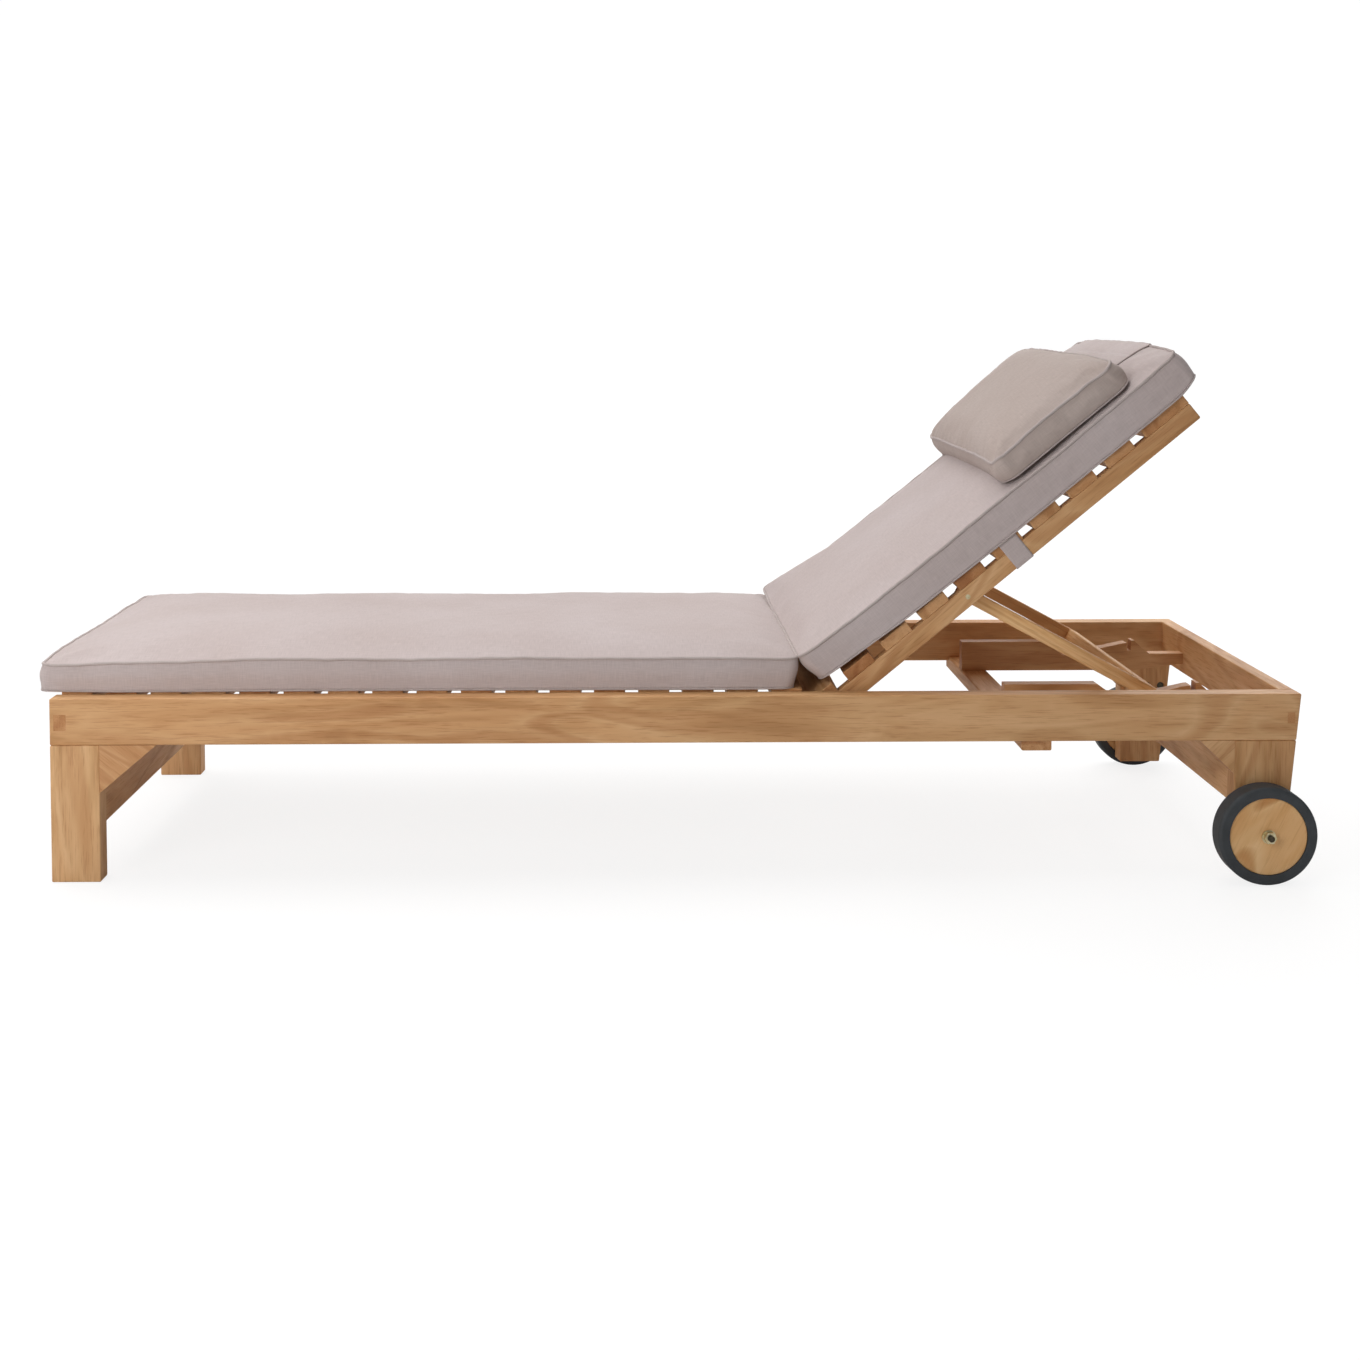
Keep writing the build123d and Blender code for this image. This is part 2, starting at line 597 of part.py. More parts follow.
def backrest_pivots():
    """The two pins that the backrest turns on, each with a collar between the rails."""
    inner = -BACK_HALF + BACK_RAIL_THICK
    pin = rod_y(PIVOT_RADIUS, PIVOT_X, PIVOT_Z, -INNER_HALF - PIVOT_DEPTH, inner)
    collar = rod_y(PIVOT_COLLAR_RADIUS, PIVOT_X, PIVOT_Z, -INNER_HALF, -BACK_HALF - SIDE_CLEARANCE)
    pin = pin + collar
    return Compound(children=[pin, other_side(pin)])


def prop_place(shape):
    """Takes a prop piece from its own frame to the photographed pose."""
    angle = math.radians(BACK_ANGLE)
    x = PIVOT_X + PROP_PIVOT_S * math.cos(angle)
    z = PIVOT_Z + PROP_PIVOT_S * math.sin(angle)
    return Pos(x, 0, z) * (Rot(0, math.degrees(prop_down()), 0) * shape)


def prop_arm():
    """The right arm of the prop, with its bolt hole and the bar's mortise."""
    half = ARM_DEPTH / 2
    arm = board(-PROP_HEEL, PROP_REACH, -ARM_OUTER, -ARM_OUTER + ARM_THICK, -half, half)
    arm -= rod_y(PROP_BOLT_RADIUS + RUNNING_CLEARANCE, 0, 0, -ARM_OUTER, -ARM_OUTER + ARM_THICK)
    arm -= bar_tenon(GLUE_GAP)
    return prop_place(arm)


def bar_tenon(gap):
    """The bar's tenon in the right arm."""
    inner = -ARM_OUTER + ARM_THICK
    middle = PROP_REACH - BAR_WIDTH / 2
    half = BAR_TENON_SIZE / 2 + gap
    return block(middle - half, middle + half, inner - BAR_TENON_LENGTH - gap, inner, -half, half)


def prop_bar():
    """The bar across the prop's arms that sits in the racks."""
    inner = ARM_OUTER - ARM_THICK
    half = ARM_DEPTH / 2
    bar = board(PROP_REACH - BAR_WIDTH, PROP_REACH, -inner, inner, half - BAR_DEPTH, half)
    tenon = bar_tenon(0)
    return prop_place(bar + tenon + other_side(tenon))


def prop_bolts():
    """The two bolts that the prop swings on, each with its sleeve and head."""
    outer = -BACK_HALF
    inner = outer + BACK_RAIL_THICK
    arm_inner = -ARM_OUTER + ARM_THICK
    bolt = rod_y(PROP_BOLT_RADIUS, 0, 0, outer, arm_inner + SIDE_CLEARANCE + PROP_HEAD_THICK)
    sleeve = rod_y(PROP_SLEEVE_RADIUS, 0, 0, inner, -ARM_OUTER - SIDE_CLEARANCE)
    head = rod_y(PROP_HEAD_RADIUS, 0, 0, arm_inner + SIDE_CLEARANCE,
                 arm_inner + SIDE_CLEARANCE + PROP_HEAD_THICK)
    bolt = bolt + sleeve + head
    return raised(Pos(PROP_PIVOT_S, 0, 0) * Compound(children=[bolt, other_side(bolt)]))


def stub_axles():
    """The steel stub axles, one through each wheel leg, with its head on the leg's inner face."""
    outer = -HALF_WIDTH - WHEEL_GAP - TYRE_WIDTH - WASHER_THICK - NUT_THICK - AXLE_END_PROUD
    inner = -HALF_WIDTH + WHEEL_LEG_THICK
    stub = rod_y(AXLE_RADIUS, WHEEL_CENTRE_X, TYRE_RADIUS, outer, inner)
    stub += rod_y(AXLE_HEAD_RADIUS, WHEEL_CENTRE_X, TYRE_RADIUS, inner, inner + AXLE_HEAD_THICK)
    return Compound(children=[stub, other_side(stub)])


def disc_faces():
    """The inner and outer Y of the right wheel's disc."""
    middle = -HALF_WIDTH - WHEEL_GAP - TYRE_WIDTH / 2
    return middle - DISC_THICK / 2, middle + DISC_THICK / 2


def axle_fittings():
    """Washers, spacers and nuts on the axle, a set on each side."""
    outer, inner = disc_faces()
    bush_out = outer - BUSH_PROUD - SIDE_CLEARANCE
    bush_in = inner + BUSH_PROUD + SIDE_CLEARANCE
    hole = rod_y(AXLE_RADIUS, WHEEL_CENTRE_X, TYRE_RADIUS, -FRAME_WIDTH, 0)
    spacer = rod_y(WASHER_RADIUS, WHEEL_CENTRE_X, TYRE_RADIUS, bush_in, -HALF_WIDTH) - hole
    washer = rod_y(WASHER_RADIUS, WHEEL_CENTRE_X, TYRE_RADIUS, bush_out - WASHER_THICK, bush_out) - hole
    nut_shape = RegularPolygon(NUT_ACROSS_FLATS / 2, 6, major_radius=False)
    nut = Rot(90, 0, 0) * extrude(nut_shape, NUT_THICK)
    nut = Pos(WHEEL_CENTRE_X, bush_out - WASHER_THICK, TYRE_RADIUS) * nut - hole
    sides = [spacer, washer, nut, other_side(spacer), other_side(washer), other_side(nut)]
    return Compound(children=sides)


def bush():
    """The bush in the right wheel, which turns on the axle."""
    outer, inner = disc_faces()
    bore = AXLE_RADIUS + RUNNING_CLEARANCE
    ring = rod_y(bore + BUSH_WALL, WHEEL_CENTRE_X, TYRE_RADIUS, outer - BUSH_PROUD, inner + BUSH_PROUD)
    return ring - rod_y(bore, WHEEL_CENTRE_X, TYRE_RADIUS, outer - BUSH_WALL, inner + BUSH_WALL)


def wheel_disc():
    """The teak disc of the right wheel."""
    outer, inner = disc_faces()
    disc = rod_y(DISC_RADIUS, WHEEL_CENTRE_X, TYRE_RADIUS, outer, inner)
    disc = chamfer(disc.edges().filter_by(GeomType.CIRCLE), TYRE_BEAD)
    hole = AXLE_RADIUS + RUNNING_CLEARANCE + BUSH_WALL
    return disc - rod_y(hole, WHEEL_CENTRE_X, TYRE_RADIUS, outer, inner)


def tyre():
    """The solid rubber tyre round the right wheel's disc."""
    y0 = -HALF_WIDTH - WHEEL_GAP - TYRE_WIDTH
    y1 = -HALF_WIDTH - WHEEL_GAP
    ring = rod_y(TYRE_RADIUS, WHEEL_CENTRE_X, TYRE_RADIUS, y0, y1)
    ring = fillet(ring.edges().filter_by(GeomType.CIRCLE), TYRE_ROUND)
    return ring - rod_y(DISC_RADIUS, WHEEL_CENTRE_X, TYRE_RADIUS, y0, y1)


def section(place, half, low_side, low, seam, crown):
    """One cushion section: bottom, bulged side, crowned top, bulged side."""
    side = half + SIDE_BULGE
    middle = (low_side + seam) / 2
    if low == low_side:
        bottom = Edge.make_line((place, -half, low_side), (place, half, low_side))
    else:
        bottom = Edge.make_three_point_arc((place, -half, low_side), (place, 0, low),
                                           (place, half, low_side))
    left = Edge.make_three_point_arc((place, half, low_side), (place, side, middle),
                                     (place, half, seam))
    top = Edge.make_three_point_arc((place, half, seam), (place, 0, crown), (place, -half, seam))
    right = Edge.make_three_point_arc((place, -half, seam), (place, -side, middle),
                                      (place, -half, low_side))
    return Wire([bottom, left, top, right])


def seat_cushion():
    """The seat cushion, crowned, with its sides drawn in between the corners."""
    length = SEAT_PAD_END - SEAT_PAD_START
    wires = []
    for place, draw, lift, drop, crown in SEAT_PAD_SHARES:
        x = SEAT_PAD_START + place * length
        half = SEAT_PAD_HALF - draw * SEAT_PAD_DRAW
        low = SEAT_TOP + SOFT_GAP + lift * SEAT_PAD_LIFT
        seam = SEAT_TOP + SEAT_PAD_SEAM - drop * SEAT_PAD_SEAM_DROP
        wires.append(section(x, half, low, low, seam, seam + crown * SEAT_PAD_CROWN))
    return Solid.make_loft(wires, ruled=True)


def back_cushion():
    """The back cushion, lifted off the slats at its lower end and rounded at the head."""
    length = BACK_PAD_END - BACK_PAD_START
    wires = []
    for place, draw, lift, seam_share, crown in BACK_PAD_SHARES:
        s = BACK_PAD_START + place * length
        half = BACK_PAD_HALF - draw * BACK_PAD_DRAW
        low = SLAT_FACE + SOFT_GAP + lift * BACK_PAD_LIFT
        seam = SLAT_FACE + seam_share * BACK_PAD_SEAM
        wires.append(section(s, half, low, low, seam, seam + crown * BACK_PAD_CROWN))
    return raised(Solid.make_loft(wires, ruled=True))


def head_pillow():
    """The wedge pillow on the back cushion, hollowed under to the cushion's crown."""
    wires = []
    for place, draw, sag, lift, seam_share, crown in PILLOW_SHARES:
        s = PILLOW_START + place * PILLOW_LENGTH
        half = PILLOW_HALF - draw * PILLOW_DRAW
        side = PILLOW_BASE - sag * PILLOW_SAG
        low = PILLOW_BASE + lift * PILLOW_LIFT
        seam = PILLOW_BASE + seam_share * PILLOW_SEAM
        wires.append(section(s, half, side, low, seam, seam + crown * PILLOW_CROWN))
    return raised(Solid.make_loft(wires, ruled=True))


def pillow_flap():
    """The band that holds the pillow over the head of the back cushion."""
    right = FLAP_RIGHT_INSET - PILLOW_HALF
    left = PILLOW_HALF - FLAP_LEFT_INSET
    top = PILLOW_BASE + FLAP_RISE
    path = [(FLAP_START + along * FLAP_REACH, top - down * FLAP_DROP) for along, down in FLAP_SHARES]
    inner = [Vector(s, right, n) for s, n in path]
    outer = []
    last = len(path) - 1
    for index, (s, n) in enumerate(path):
        s0, n0 = path[max(index - 1, 0)]
        s1, n1 = path[min(index + 1, last)]
        run = math.hypot(s1 - s0, n1 - n0)
        outer.append(Vector(s - FLAP_THICK * (n1 - n0) / run, right,
                            n + FLAP_THICK * (s1 - s0) / run))
    loop = Wire.make_polygon(inner + outer[::-1], close=True)
    return raised(Solid.extrude(Face(loop), Vector(0, left - right, 0)))


def strap():
    """The strap round the right backrest rail, from the cushion to the slat's underside."""
    air = STRAP_AIR
    end = STRAP_START + STRAP_WIDTH
    outer = -BACK_HALF - air
    inner = -BACK_HALF + BACK_RAIL_THICK + air
    low = -BACK_RAIL_DEPTH / 2 - air
    top = SLAT_FACE + air
    under = BACK_RAIL_DEPTH / 2 - air
    face = block(STRAP_START, end, outer - STRAP_THICK, outer, low - STRAP_THICK, top)
    base = block(STRAP_START, end, outer, inner, low - STRAP_THICK, low)
    back = block(STRAP_START, end, inner, inner + STRAP_THICK, low - STRAP_THICK, under)
    return face + base + back


def straps():
    """Both straps, as separate solids."""
    right = strap()
    return raised(Compound(children=[right, other_side(right)]))


def write(shape, name):
    """Moves a piece to the middle of the box and writes it."""
    moved = Pos(-MIDDLE_X, 0, 0) * shape
    export_step(moved, "parts/" + name + ".step")


def write_pair(shape, name):
    """Writes a right piece and its left twin."""
    write(shape, name + "_right")
    write(other_side(shape), name + "_left")


write_pair(side_rail(), "side_rail")
write(foot_end_rail(), "foot_end_rail")
write(head_end_rail(), "head_end_rail")
write_pair(foot_leg(), "foot_leg")
write_pair(foot_knee(), "foot_knee")
write(foot_stretcher(), "foot_stretcher")
write_pair(wheel_leg(), "wheel_leg")
write_pair(wheel_knee(), "wheel_knee")
write(wheel_stretcher(), "wheel_stretcher")
write(leg_bolts(), "leg_bolts")
write(beam(), "rack_beam")
write_pair(rack(), "rack")
write_pair(cleat(), "slat_cleat")
for group, first, last in seat_groups():
    write(seat_slats(first, last), "seat_slats_" + group)
write(backrest_pivots(), "backrest_pivots")
write(stub_axles(), "stub_axles")
write(axle_fittings(), "axle_fittings")
write(seat_cushion(), "seat_cushion")
write_pair(back_rail(), "back_rail")
for index in range(BACK_SLAT_COUNT):
    start = index * BACK_SLAT_PITCH - BACK_SLAT_TAIL
    write(back_slat(start, start + BACK_SLAT_WIDTH), "back_slat_" + str(index + 1))
write(back_slat(HEAD_SLAT_START, BACK_RAIL_END), "head_slat")
write(prop_bolts(), "prop_bolts")
write(straps(), "cushion_straps")
write(back_cushion(), "back_cushion")
write(head_pillow(), "head_pillow")
write(pillow_flap(), "pillow_flap")
write_pair(prop_arm(), "prop_arm")
write(prop_bar(), "prop_bar")
write_pair(wheel_disc(), "wheel_disc")
write_pair(tyre(), "tyre")
write_pair(bush(), "wheel_bush")
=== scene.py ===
import math
import bpy
import numpy as np
from mathutils import Matrix, Vector
from mathutils.bvhtree import BVHTree


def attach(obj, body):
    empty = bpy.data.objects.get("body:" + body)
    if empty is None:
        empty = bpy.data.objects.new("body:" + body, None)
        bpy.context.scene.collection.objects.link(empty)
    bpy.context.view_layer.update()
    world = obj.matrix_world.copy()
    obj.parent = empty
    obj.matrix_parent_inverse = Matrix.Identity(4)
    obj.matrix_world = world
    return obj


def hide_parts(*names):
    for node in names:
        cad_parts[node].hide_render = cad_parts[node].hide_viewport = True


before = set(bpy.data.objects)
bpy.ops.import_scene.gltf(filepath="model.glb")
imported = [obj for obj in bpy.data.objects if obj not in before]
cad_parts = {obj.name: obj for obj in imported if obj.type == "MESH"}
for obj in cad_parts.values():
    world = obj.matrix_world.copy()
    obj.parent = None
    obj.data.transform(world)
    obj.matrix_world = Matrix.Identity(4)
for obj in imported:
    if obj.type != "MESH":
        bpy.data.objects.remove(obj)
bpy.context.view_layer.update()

# Teak sun lounger with boxed canvas cushions. Everything is in metres, in the frame of the CAD:
# X from the foot end to the head end, Y from the right side to the left side, Z up.

# Sizes shared with the frame
MIDDLE = 0.9964                    # from the side rails' foot end to the middle of the CAD's box
PIVOT = Vector((1.2547 - MIDDLE, 0.0, 0.267))
BACK_ANGLE = math.radians(39.4)    # the backrest above level, as photographed
PROP_ANGLE = math.radians(28.5)    # the prop below level
SEAT_SLATS, SEAT_PITCH = 17, 0.0717
SEAT_FIRST = 0.0087                # the first seat slat's foot edge
SEAT_SLAT_HALF = 0.02525           # half a seat slat's width
SEAT_FACE = 0.300                  # the seat slats' upper face
BACK_SLATS, BACK_PITCH = 10, 0.0774    # with the head slat
BACK_FIRST = -0.028                # the first back slat's foot edge, along the backrest
BACK_SLAT_HALF = 0.027
BACK_GAP_HALF = 0.012
BACK_FACE = 0.033                  # the back slats' upper face above the rails' middle line
WHEEL_KNEE_ANGLE = math.radians(44)    # the knees' slants, which their grain follows
FOOT_KNEE_ANGLE = math.radians(-40)
DISC_GRAIN_ANGLE = math.radians(62)

# Cushions, by stations: place along, half width, underside, upper seam, rise of the crown. The
# seat's are in the drawing of the frame, the others in the backrest's own lengths and heights.
SEAT_PAD = ((-0.0300, 0.3185, 0.3020, 0.3430, 0.0140), (0.10, 0.3190, 0.3004, 0.3480, 0.0210),
            (0.35, 0.3170, 0.3004, 0.3525, 0.0220), (0.60, 0.3160, 0.3004, 0.3525, 0.0220),
            (0.90, 0.3170, 0.3004, 0.3520, 0.0205), (1.10, 0.3190, 0.3004, 0.3510, 0.0160),
            (1.1955, 0.3185, 0.3010, 0.3485, 0.0100))
BACK_PAD = ((0.0120, 0.3185, 0.0490, 0.0970, 0.0100), (0.055, 0.3190, 0.0455, 0.0960, 0.0160),
            (0.120, 0.3190, 0.0420, 0.0935, 0.0180), (0.180, 0.3180, 0.0380, 0.0920, 0.0175),
            (0.380, 0.3165, 0.0336, 0.0895, 0.0160), (0.540, 0.3165, 0.0334, 0.0890, 0.0180),
            (0.700, 0.3180, 0.0334, 0.0905, 0.0160), (0.760, 0.3190, 0.0345, 0.0915, 0.0175),
            (0.7965, 0.3180, 0.0440, 0.0905, 0.0280))
HEAD_PAD = ((0.4455, 0.3025, 0.0990, 0.1375, 0.0180), (0.500, 0.3025, 0.0990, 0.1400, 0.0260),
            (0.580, 0.3015, 0.0990, 0.1420, 0.0260), (0.660, 0.3025, 0.0990, 0.1430, 0.0240),
            (0.7130, 0.3030, 0.0992, 0.1385, 0.0200))

# How far a pad's left edge lies above its right one: at the pad's start, over what length that
# fades, and what is left beyond
SEAT_LIE = (0.012, 0.15, 0.003)
BACK_LIE = (0.019, 0.10, 0.006)
HEAD_LIE = (0.002, 0.12, 0.013)

# How far the upper seams of a pad's start and end are pushed towards the head end, at the right,
# in the middle and at the left. The seat pad and the back pad meet so.
SEAT_REACH = ((0.0, -0.003, 0.0), (0.009, 0.006, 0.001))
BACK_REACH = ((-0.007, -0.011, -0.005), (0.0, 0.003, 0.0))
HEAD_REACH = ((0.0, 0.0, 0.0), (0.0, 0.004, 0.0))

# How a cover is cut and filled: the size of its grid, the radius of its corners, how far the
# middle of its bottom panel arches, the pressure in it, the slack of its cloth, and how far a point
# may move from where it was cut
PAD_MAKE = {"cell": 0.0095, "corner": 0.016, "arch": 0.0, "pressure": 4.0, "slack": 0.012, "cap": 0.006}
PILLOW_MAKE = {"cell": 0.0075, "corner": 0.028, "arch": 0.018, "pressure": 4.5, "slack": 0.015,
               "cap": 0.007}
SIDE_ROWS = 5                      # rows of cells in a cushion's side band
SIDE_SWELL, SIDE_POWER = 0.003, 0.8    # how far the side band stands out, twice that at the ends
TUCK = 0.002                       # how far the bottom panel is drawn in
CROWN_POWER = 4                    # a high power makes a flat crown with full shoulders
END_DROP, END_POWER = 0.55, 14     # the share of the crown lost at a pad's ends, and how late
REACH_POWER = 6                    # how late towards the ends the seams are pushed
LIE_POWER = 1.5                    # how late towards the left edge the pad rises
UNEVEN = 0.0006                    # the height of the larger waves in the panels
SMALLER_SHARE = 0.6                # and of the smaller ones, as a share of it
LARGER_WAVES = (17.0, 6.0)         # how close they lie along and across, in radians a metre
SMALLER_WAVES = (31.0, 11.0, 9.0)  # the same along, on the slant and across
RANDOM_EASE = 0.0004               # and the points' own scatter
SIDE_UV, LOW_UV = 6.0, 3.0         # where the side band's and the bottom panel's cloth starts in UV
BLOW_FRAMES = 20                   # the steps in which the covers are blown up
COVER_CLOTH = {"quality": 6, "mass": 0.3, "tension_stiffness": 25, "compression_stiffness": 12,
               "shear_stiffness": 8, "bending_stiffness": 0.6}
SEAM_CREASE = 0.7

PIPING = 0.0026                    # radius of the covered cord in the upper seams
LOW_PIPING = 0.0014                # and of the plain, folded seams below
PIPING_SIDES = 8
BAND_START = 0.6900                # the band comes out from under the pillow's head edge
BAND_RIGHT, BAND_LEFT = 0.185, 0.245    # how far it reaches to each side of the middle
BAND_THICK = 0.0016
BAND_CLEAR = 0.0013                # from the cushion to the middle of the band's thickness
BAND_COLUMNS = 73
BAND_HEART = (0.755, 0.052)        # the middle of the back cushion's head, which the band goes round
BAND_FAR = 0.15                    # how far off the rays that lay the band start
BAND_STEP, BAND_TURN = 0.005, 3.4  # from row to row, in metres on top and in degrees round the head
BAND_TURNS = 27
BAND_EASINGS = 6                   # rounds in which the band spans the small hollows under it
STRAP_WIDE, STRAP_THICK = 0.034, 0.0013
STRAP_START = 0.374                # the straps' foot edge, along the backrest
STRAP_COLUMNS = 9
STRAP_BEND, STRAP_BEND_STEPS = 0.004, 5    # the radius of its bends, and the steps in each
# the right strap's way, across and out of the backrest: from under the cushion round the rail
STRAP_WAY = ((-0.3010, 0.0334), (-0.3110, 0.0332), (-0.3110, -0.0163), (-0.2850, -0.0163),
             (-0.2850, 0.0140))

PLUG_RADIUS, PLUG_DEPTH = 0.0045, 0.0006
PLUG_TAPER = 0.92                  # the face's radius, as a share of the foot's
PLUG_SIDES = 16
PLUG_SUNK = 0.0001                 # how deep the plugs' feet are in the slats
SEAT_PLUG_SIDE, BACK_PLUG_SIDE = 0.300, 0.298   # the rows of plugs to each side of the middle


# Nodes and colours
def linear(code):
    """An sRGB hex code as the linear colour that the shaders take."""
    parts = [int(code[i:i + 2], 16) / 255 for i in (1, 3, 5)]
    return tuple(c / 12.92 if c <= 0.04045 else ((c + 0.055) / 1.055) ** 2.4 for c in parts) + (1.0,)


def set_stops(color_ramp, stops):
    """Gives a colour ramp its stops, from pairs of place and hex code."""
    while len(color_ramp.elements) < len(stops):
        color_ramp.elements.new(0.5)
    for element, (place, code) in zip(color_ramp.elements, stops):
        element.position = place
        element.color = linear(code)


def add(tree, kind, settings=None, **links):
    """Adds one node. settings are its own properties, with the stops of a colour ramp among them.
    links are its inputs by name, or by i and a number. Each takes a socket of another node, a node
    whose first output is meant, or a plain value."""
    node = tree.nodes.new(kind)
    for key, value in (settings or {}).items():
        if key == "stops":
            set_stops(node.color_ramp, value)
        else:
            setattr(node, key, value)
    for key, value in links.items():
        if key[0] == "i" and key[1:].isdigit():
            socket = node.inputs[int(key[1:])]
        else:
            socket = node.inputs[key.replace("_", " ")]
        if isinstance(value, bpy.types.Node):
            value = value.outputs[0]
        if isinstance(value, bpy.types.NodeSocket):
            tree.links.new(value, socket)
        else:
            socket.default_value = value
    return node


def new_finish(name):
    """A material with an empty node tree, and that tree."""
    material = bpy.data.materials.new(name)
    material.use_nodes = True
    material.node_tree.nodes.clear()
    return material, material.node_tree


# Finishes. The teak's ground goes through four shades from patch to patch.
HEARTWOOD = ("#C09462", "#D7AC7B", "#E3BB8C", "#D4A876")
# the same ground made paler: painted light on the prop arms, the prop bar and the wheel discs, which lie in
# shade
PAINTED_LIGHT_WOOD = ("#E2B176", "#F1C58B", "#FAD39D", "#EDBE83")

# How a board shows its figure: the figure's stretch along and across the grain, how far it is bent,
# the slices that it is cut into, and how strongly veins, specks and the board's own shade show
QUARTER_SAWN = {"stretch": (1.3, 7.5, 7.5), "bend": 0.6, "slices": 44.0, "veins": 0.55, "specks": 0.45,
                "shades": 1.0}
# the flat-sawn board's own shade shows weakly, which in part paints light on the wheel discs
FLAT_SAWN = {"stretch": (6.0, 11.0, 11.0), "bend": 1.1, "slices": 13.0, "veins": 1.0, "specks": 0.25,
             "shades": 0.3}
THREAD = 0.0009                    # from thread to thread, about twice as coarse as real so that it shows


def oiled_teak(name, turn, across=None, seed=0.0, dark=0.0, sawn=QUARTER_SAWN, ground=HEARTWOOD):
    """Oiled teak, planed and sanded. It gives the eye a honey brown with long, slightly wavy growth
    lines, short dark pores along the grain and a low, uneven shine. turn brings the grain to the
    pattern's x, across is the pitch and start of boards that lie side by side, each a shade apart,
    and dark is how far a board that lies in shade is darkened, a painted shade. ground is the
    teak's four shades, and the paler set of them is painted light on parts in shade. A flat-sawn
    board shows the growth lines as wide, bent bands."""
    material, tree = new_finish(name)
    spot = add(tree, "ShaderNodeTexCoord")
    laid = add(tree, "ShaderNodeMapping", Vector=spot.outputs["Object"], Rotation=turn,
               Location=(seed, seed * 0.37, seed * 0.61))
    # each board has its own shade, or one board's shade changes over half a metre
    if across:
        pitch, start = across
        turned = add(tree, "ShaderNodeMapping", Vector=spot.outputs["Object"], Rotation=turn)
        axes = add(tree, "ShaderNodeSeparateXYZ", Vector=turned)
        count = add(tree, "ShaderNodeMath", {"operation": "MULTIPLY_ADD"}, i0=axes.outputs["Y"],
                    i1=-1.0 / pitch, i2=-start / pitch)
        board = add(tree, "ShaderNodeMath", {"operation": "FLOOR"}, i0=count)
        tone = add(tree, "ShaderNodeTexWhiteNoise", {"noise_dimensions": "1D"}, W=board)
        laid = add(tree, "ShaderNodeVectorMath", {"operation": "MULTIPLY_ADD"},
                   i0=tone.outputs["Color"], i1=(3.0, 1.0, 1.0), i2=laid)
    else:
        tone = add(tree, "ShaderNodeTexNoise", Vector=laid, Scale=1.7, Detail=0.0)
    # growth lines: a slow figure stretched along the grain, and sliced
    drawn = add(tree, "ShaderNodeVectorMath", {"operation": "MULTIPLY"}, i0=laid, i1=sawn["stretch"])
    figure = add(tree, "ShaderNodeTexNoise", Vector=drawn, Scale=1.0, Detail=2.0, Roughness=0.45,
                 Distortion=sawn["bend"])
    sliced = add(tree, "ShaderNodeMath", {"operation": "MULTIPLY"}, i0=figure, i1=sawn["slices"])
    wave = add(tree, "ShaderNodeMath", {"operation": "SINE"}, i0=sliced)
    lines = add(tree, "ShaderNodeMapRange", Value=wave, From_Min=-1.0, From_Max=1.0)
    # patches of warmer and paler heartwood, some 250 mm long and 45 mm wide
    wide = add(tree, "ShaderNodeVectorMath", {"operation": "MULTIPLY"}, i0=laid, i1=(4.0, 22.0, 22.0))
    patch = add(tree, "ShaderNodeTexNoise", Vector=wide, Scale=1.0, Detail=3.0, Roughness=0.55,
                Distortion=0.8)
    # pores: streaks 2 mm wide and some 45 mm long, drawn coarser than real so that they show
    thin = add(tree, "ShaderNodeVectorMath", {"operation": "MULTIPLY"}, i0=laid, i1=(22.0, 480.0, 480.0))
    pores = add(tree, "ShaderNodeTexNoise", Vector=thin, Scale=1.0, Detail=3.0, Roughness=0.6)
    # end grain drinks more oil and looks darker
    facing = add(tree, "ShaderNodeMapping", Vector=spot.outputs["Normal"], Rotation=turn)
    faces = add(tree, "ShaderNodeSeparateXYZ", Vector=facing)
    away = add(tree, "ShaderNodeMath", {"operation": "ABSOLUTE"}, i0=faces.outputs["X"])
    ends = add(tree, "ShaderNodeMapRange", Value=away, From_Min=0.75, From_Max=0.97, To_Min=0.0,
               To_Max=0.5)
    coloured = add(tree, "ShaderNodeValToRGB", {"stops": tuple(zip((0.28, 0.45, 0.60, 0.80), ground))},
                   Fac=patch)
    veins = add(tree, "ShaderNodeValToRGB",
                {"stops": ((0.0, "#DCC3A6"), (0.35, "#FFFFFF"), (1.0, "#F6EADC"))}, Fac=lines)
    specks = add(tree, "ShaderNodeValToRGB",
                 {"stops": ((0.33, "#CDB196"), (0.47, "#FFFFFF"), (1.0, "#FFFFFF"))}, Fac=pores)
    shades = add(tree, "ShaderNodeValToRGB",
                 {"stops": ((0.2, "#E2CFBB"), (0.5, "#F5ECE3"), (0.8, "#FFFFFF"))}, Fac=tone)
    # the layers that darken the ground: veins, specks, the board's own shade, end grain, and dark, a
    # painted shade
    for amount, layer in ((sawn["veins"], veins), (sawn["specks"], specks), (sawn["shades"], shades),
                          (ends, linear("#D8B797")), (dark, linear("#BC8A62"))):
        coloured = add(tree, "ShaderNodeMix", {"data_type": "RGBA", "blend_type": "MULTIPLY"},
                       i0=amount, i6=coloured, i7=layer).outputs[2]
    shine = add(tree, "ShaderNodeMapRange", Value=pores, From_Min=0.3, From_Max=0.7, To_Min=0.66,
                To_Max=0.52)
    grooves = add(tree, "ShaderNodeBump", Strength=0.25, Distance=0.0004, Height=pores)
    relief = add(tree, "ShaderNodeBump", Strength=0.12, Distance=0.0004, Height=lines, Normal=grooves)
    shader = add(tree, "ShaderNodeBsdfPrincipled", Base_Color=coloured, Roughness=shine, IOR=1.48,
                 Normal=relief)
    add(tree, "ShaderNodeOutputMaterial", Surface=shader)
    return material


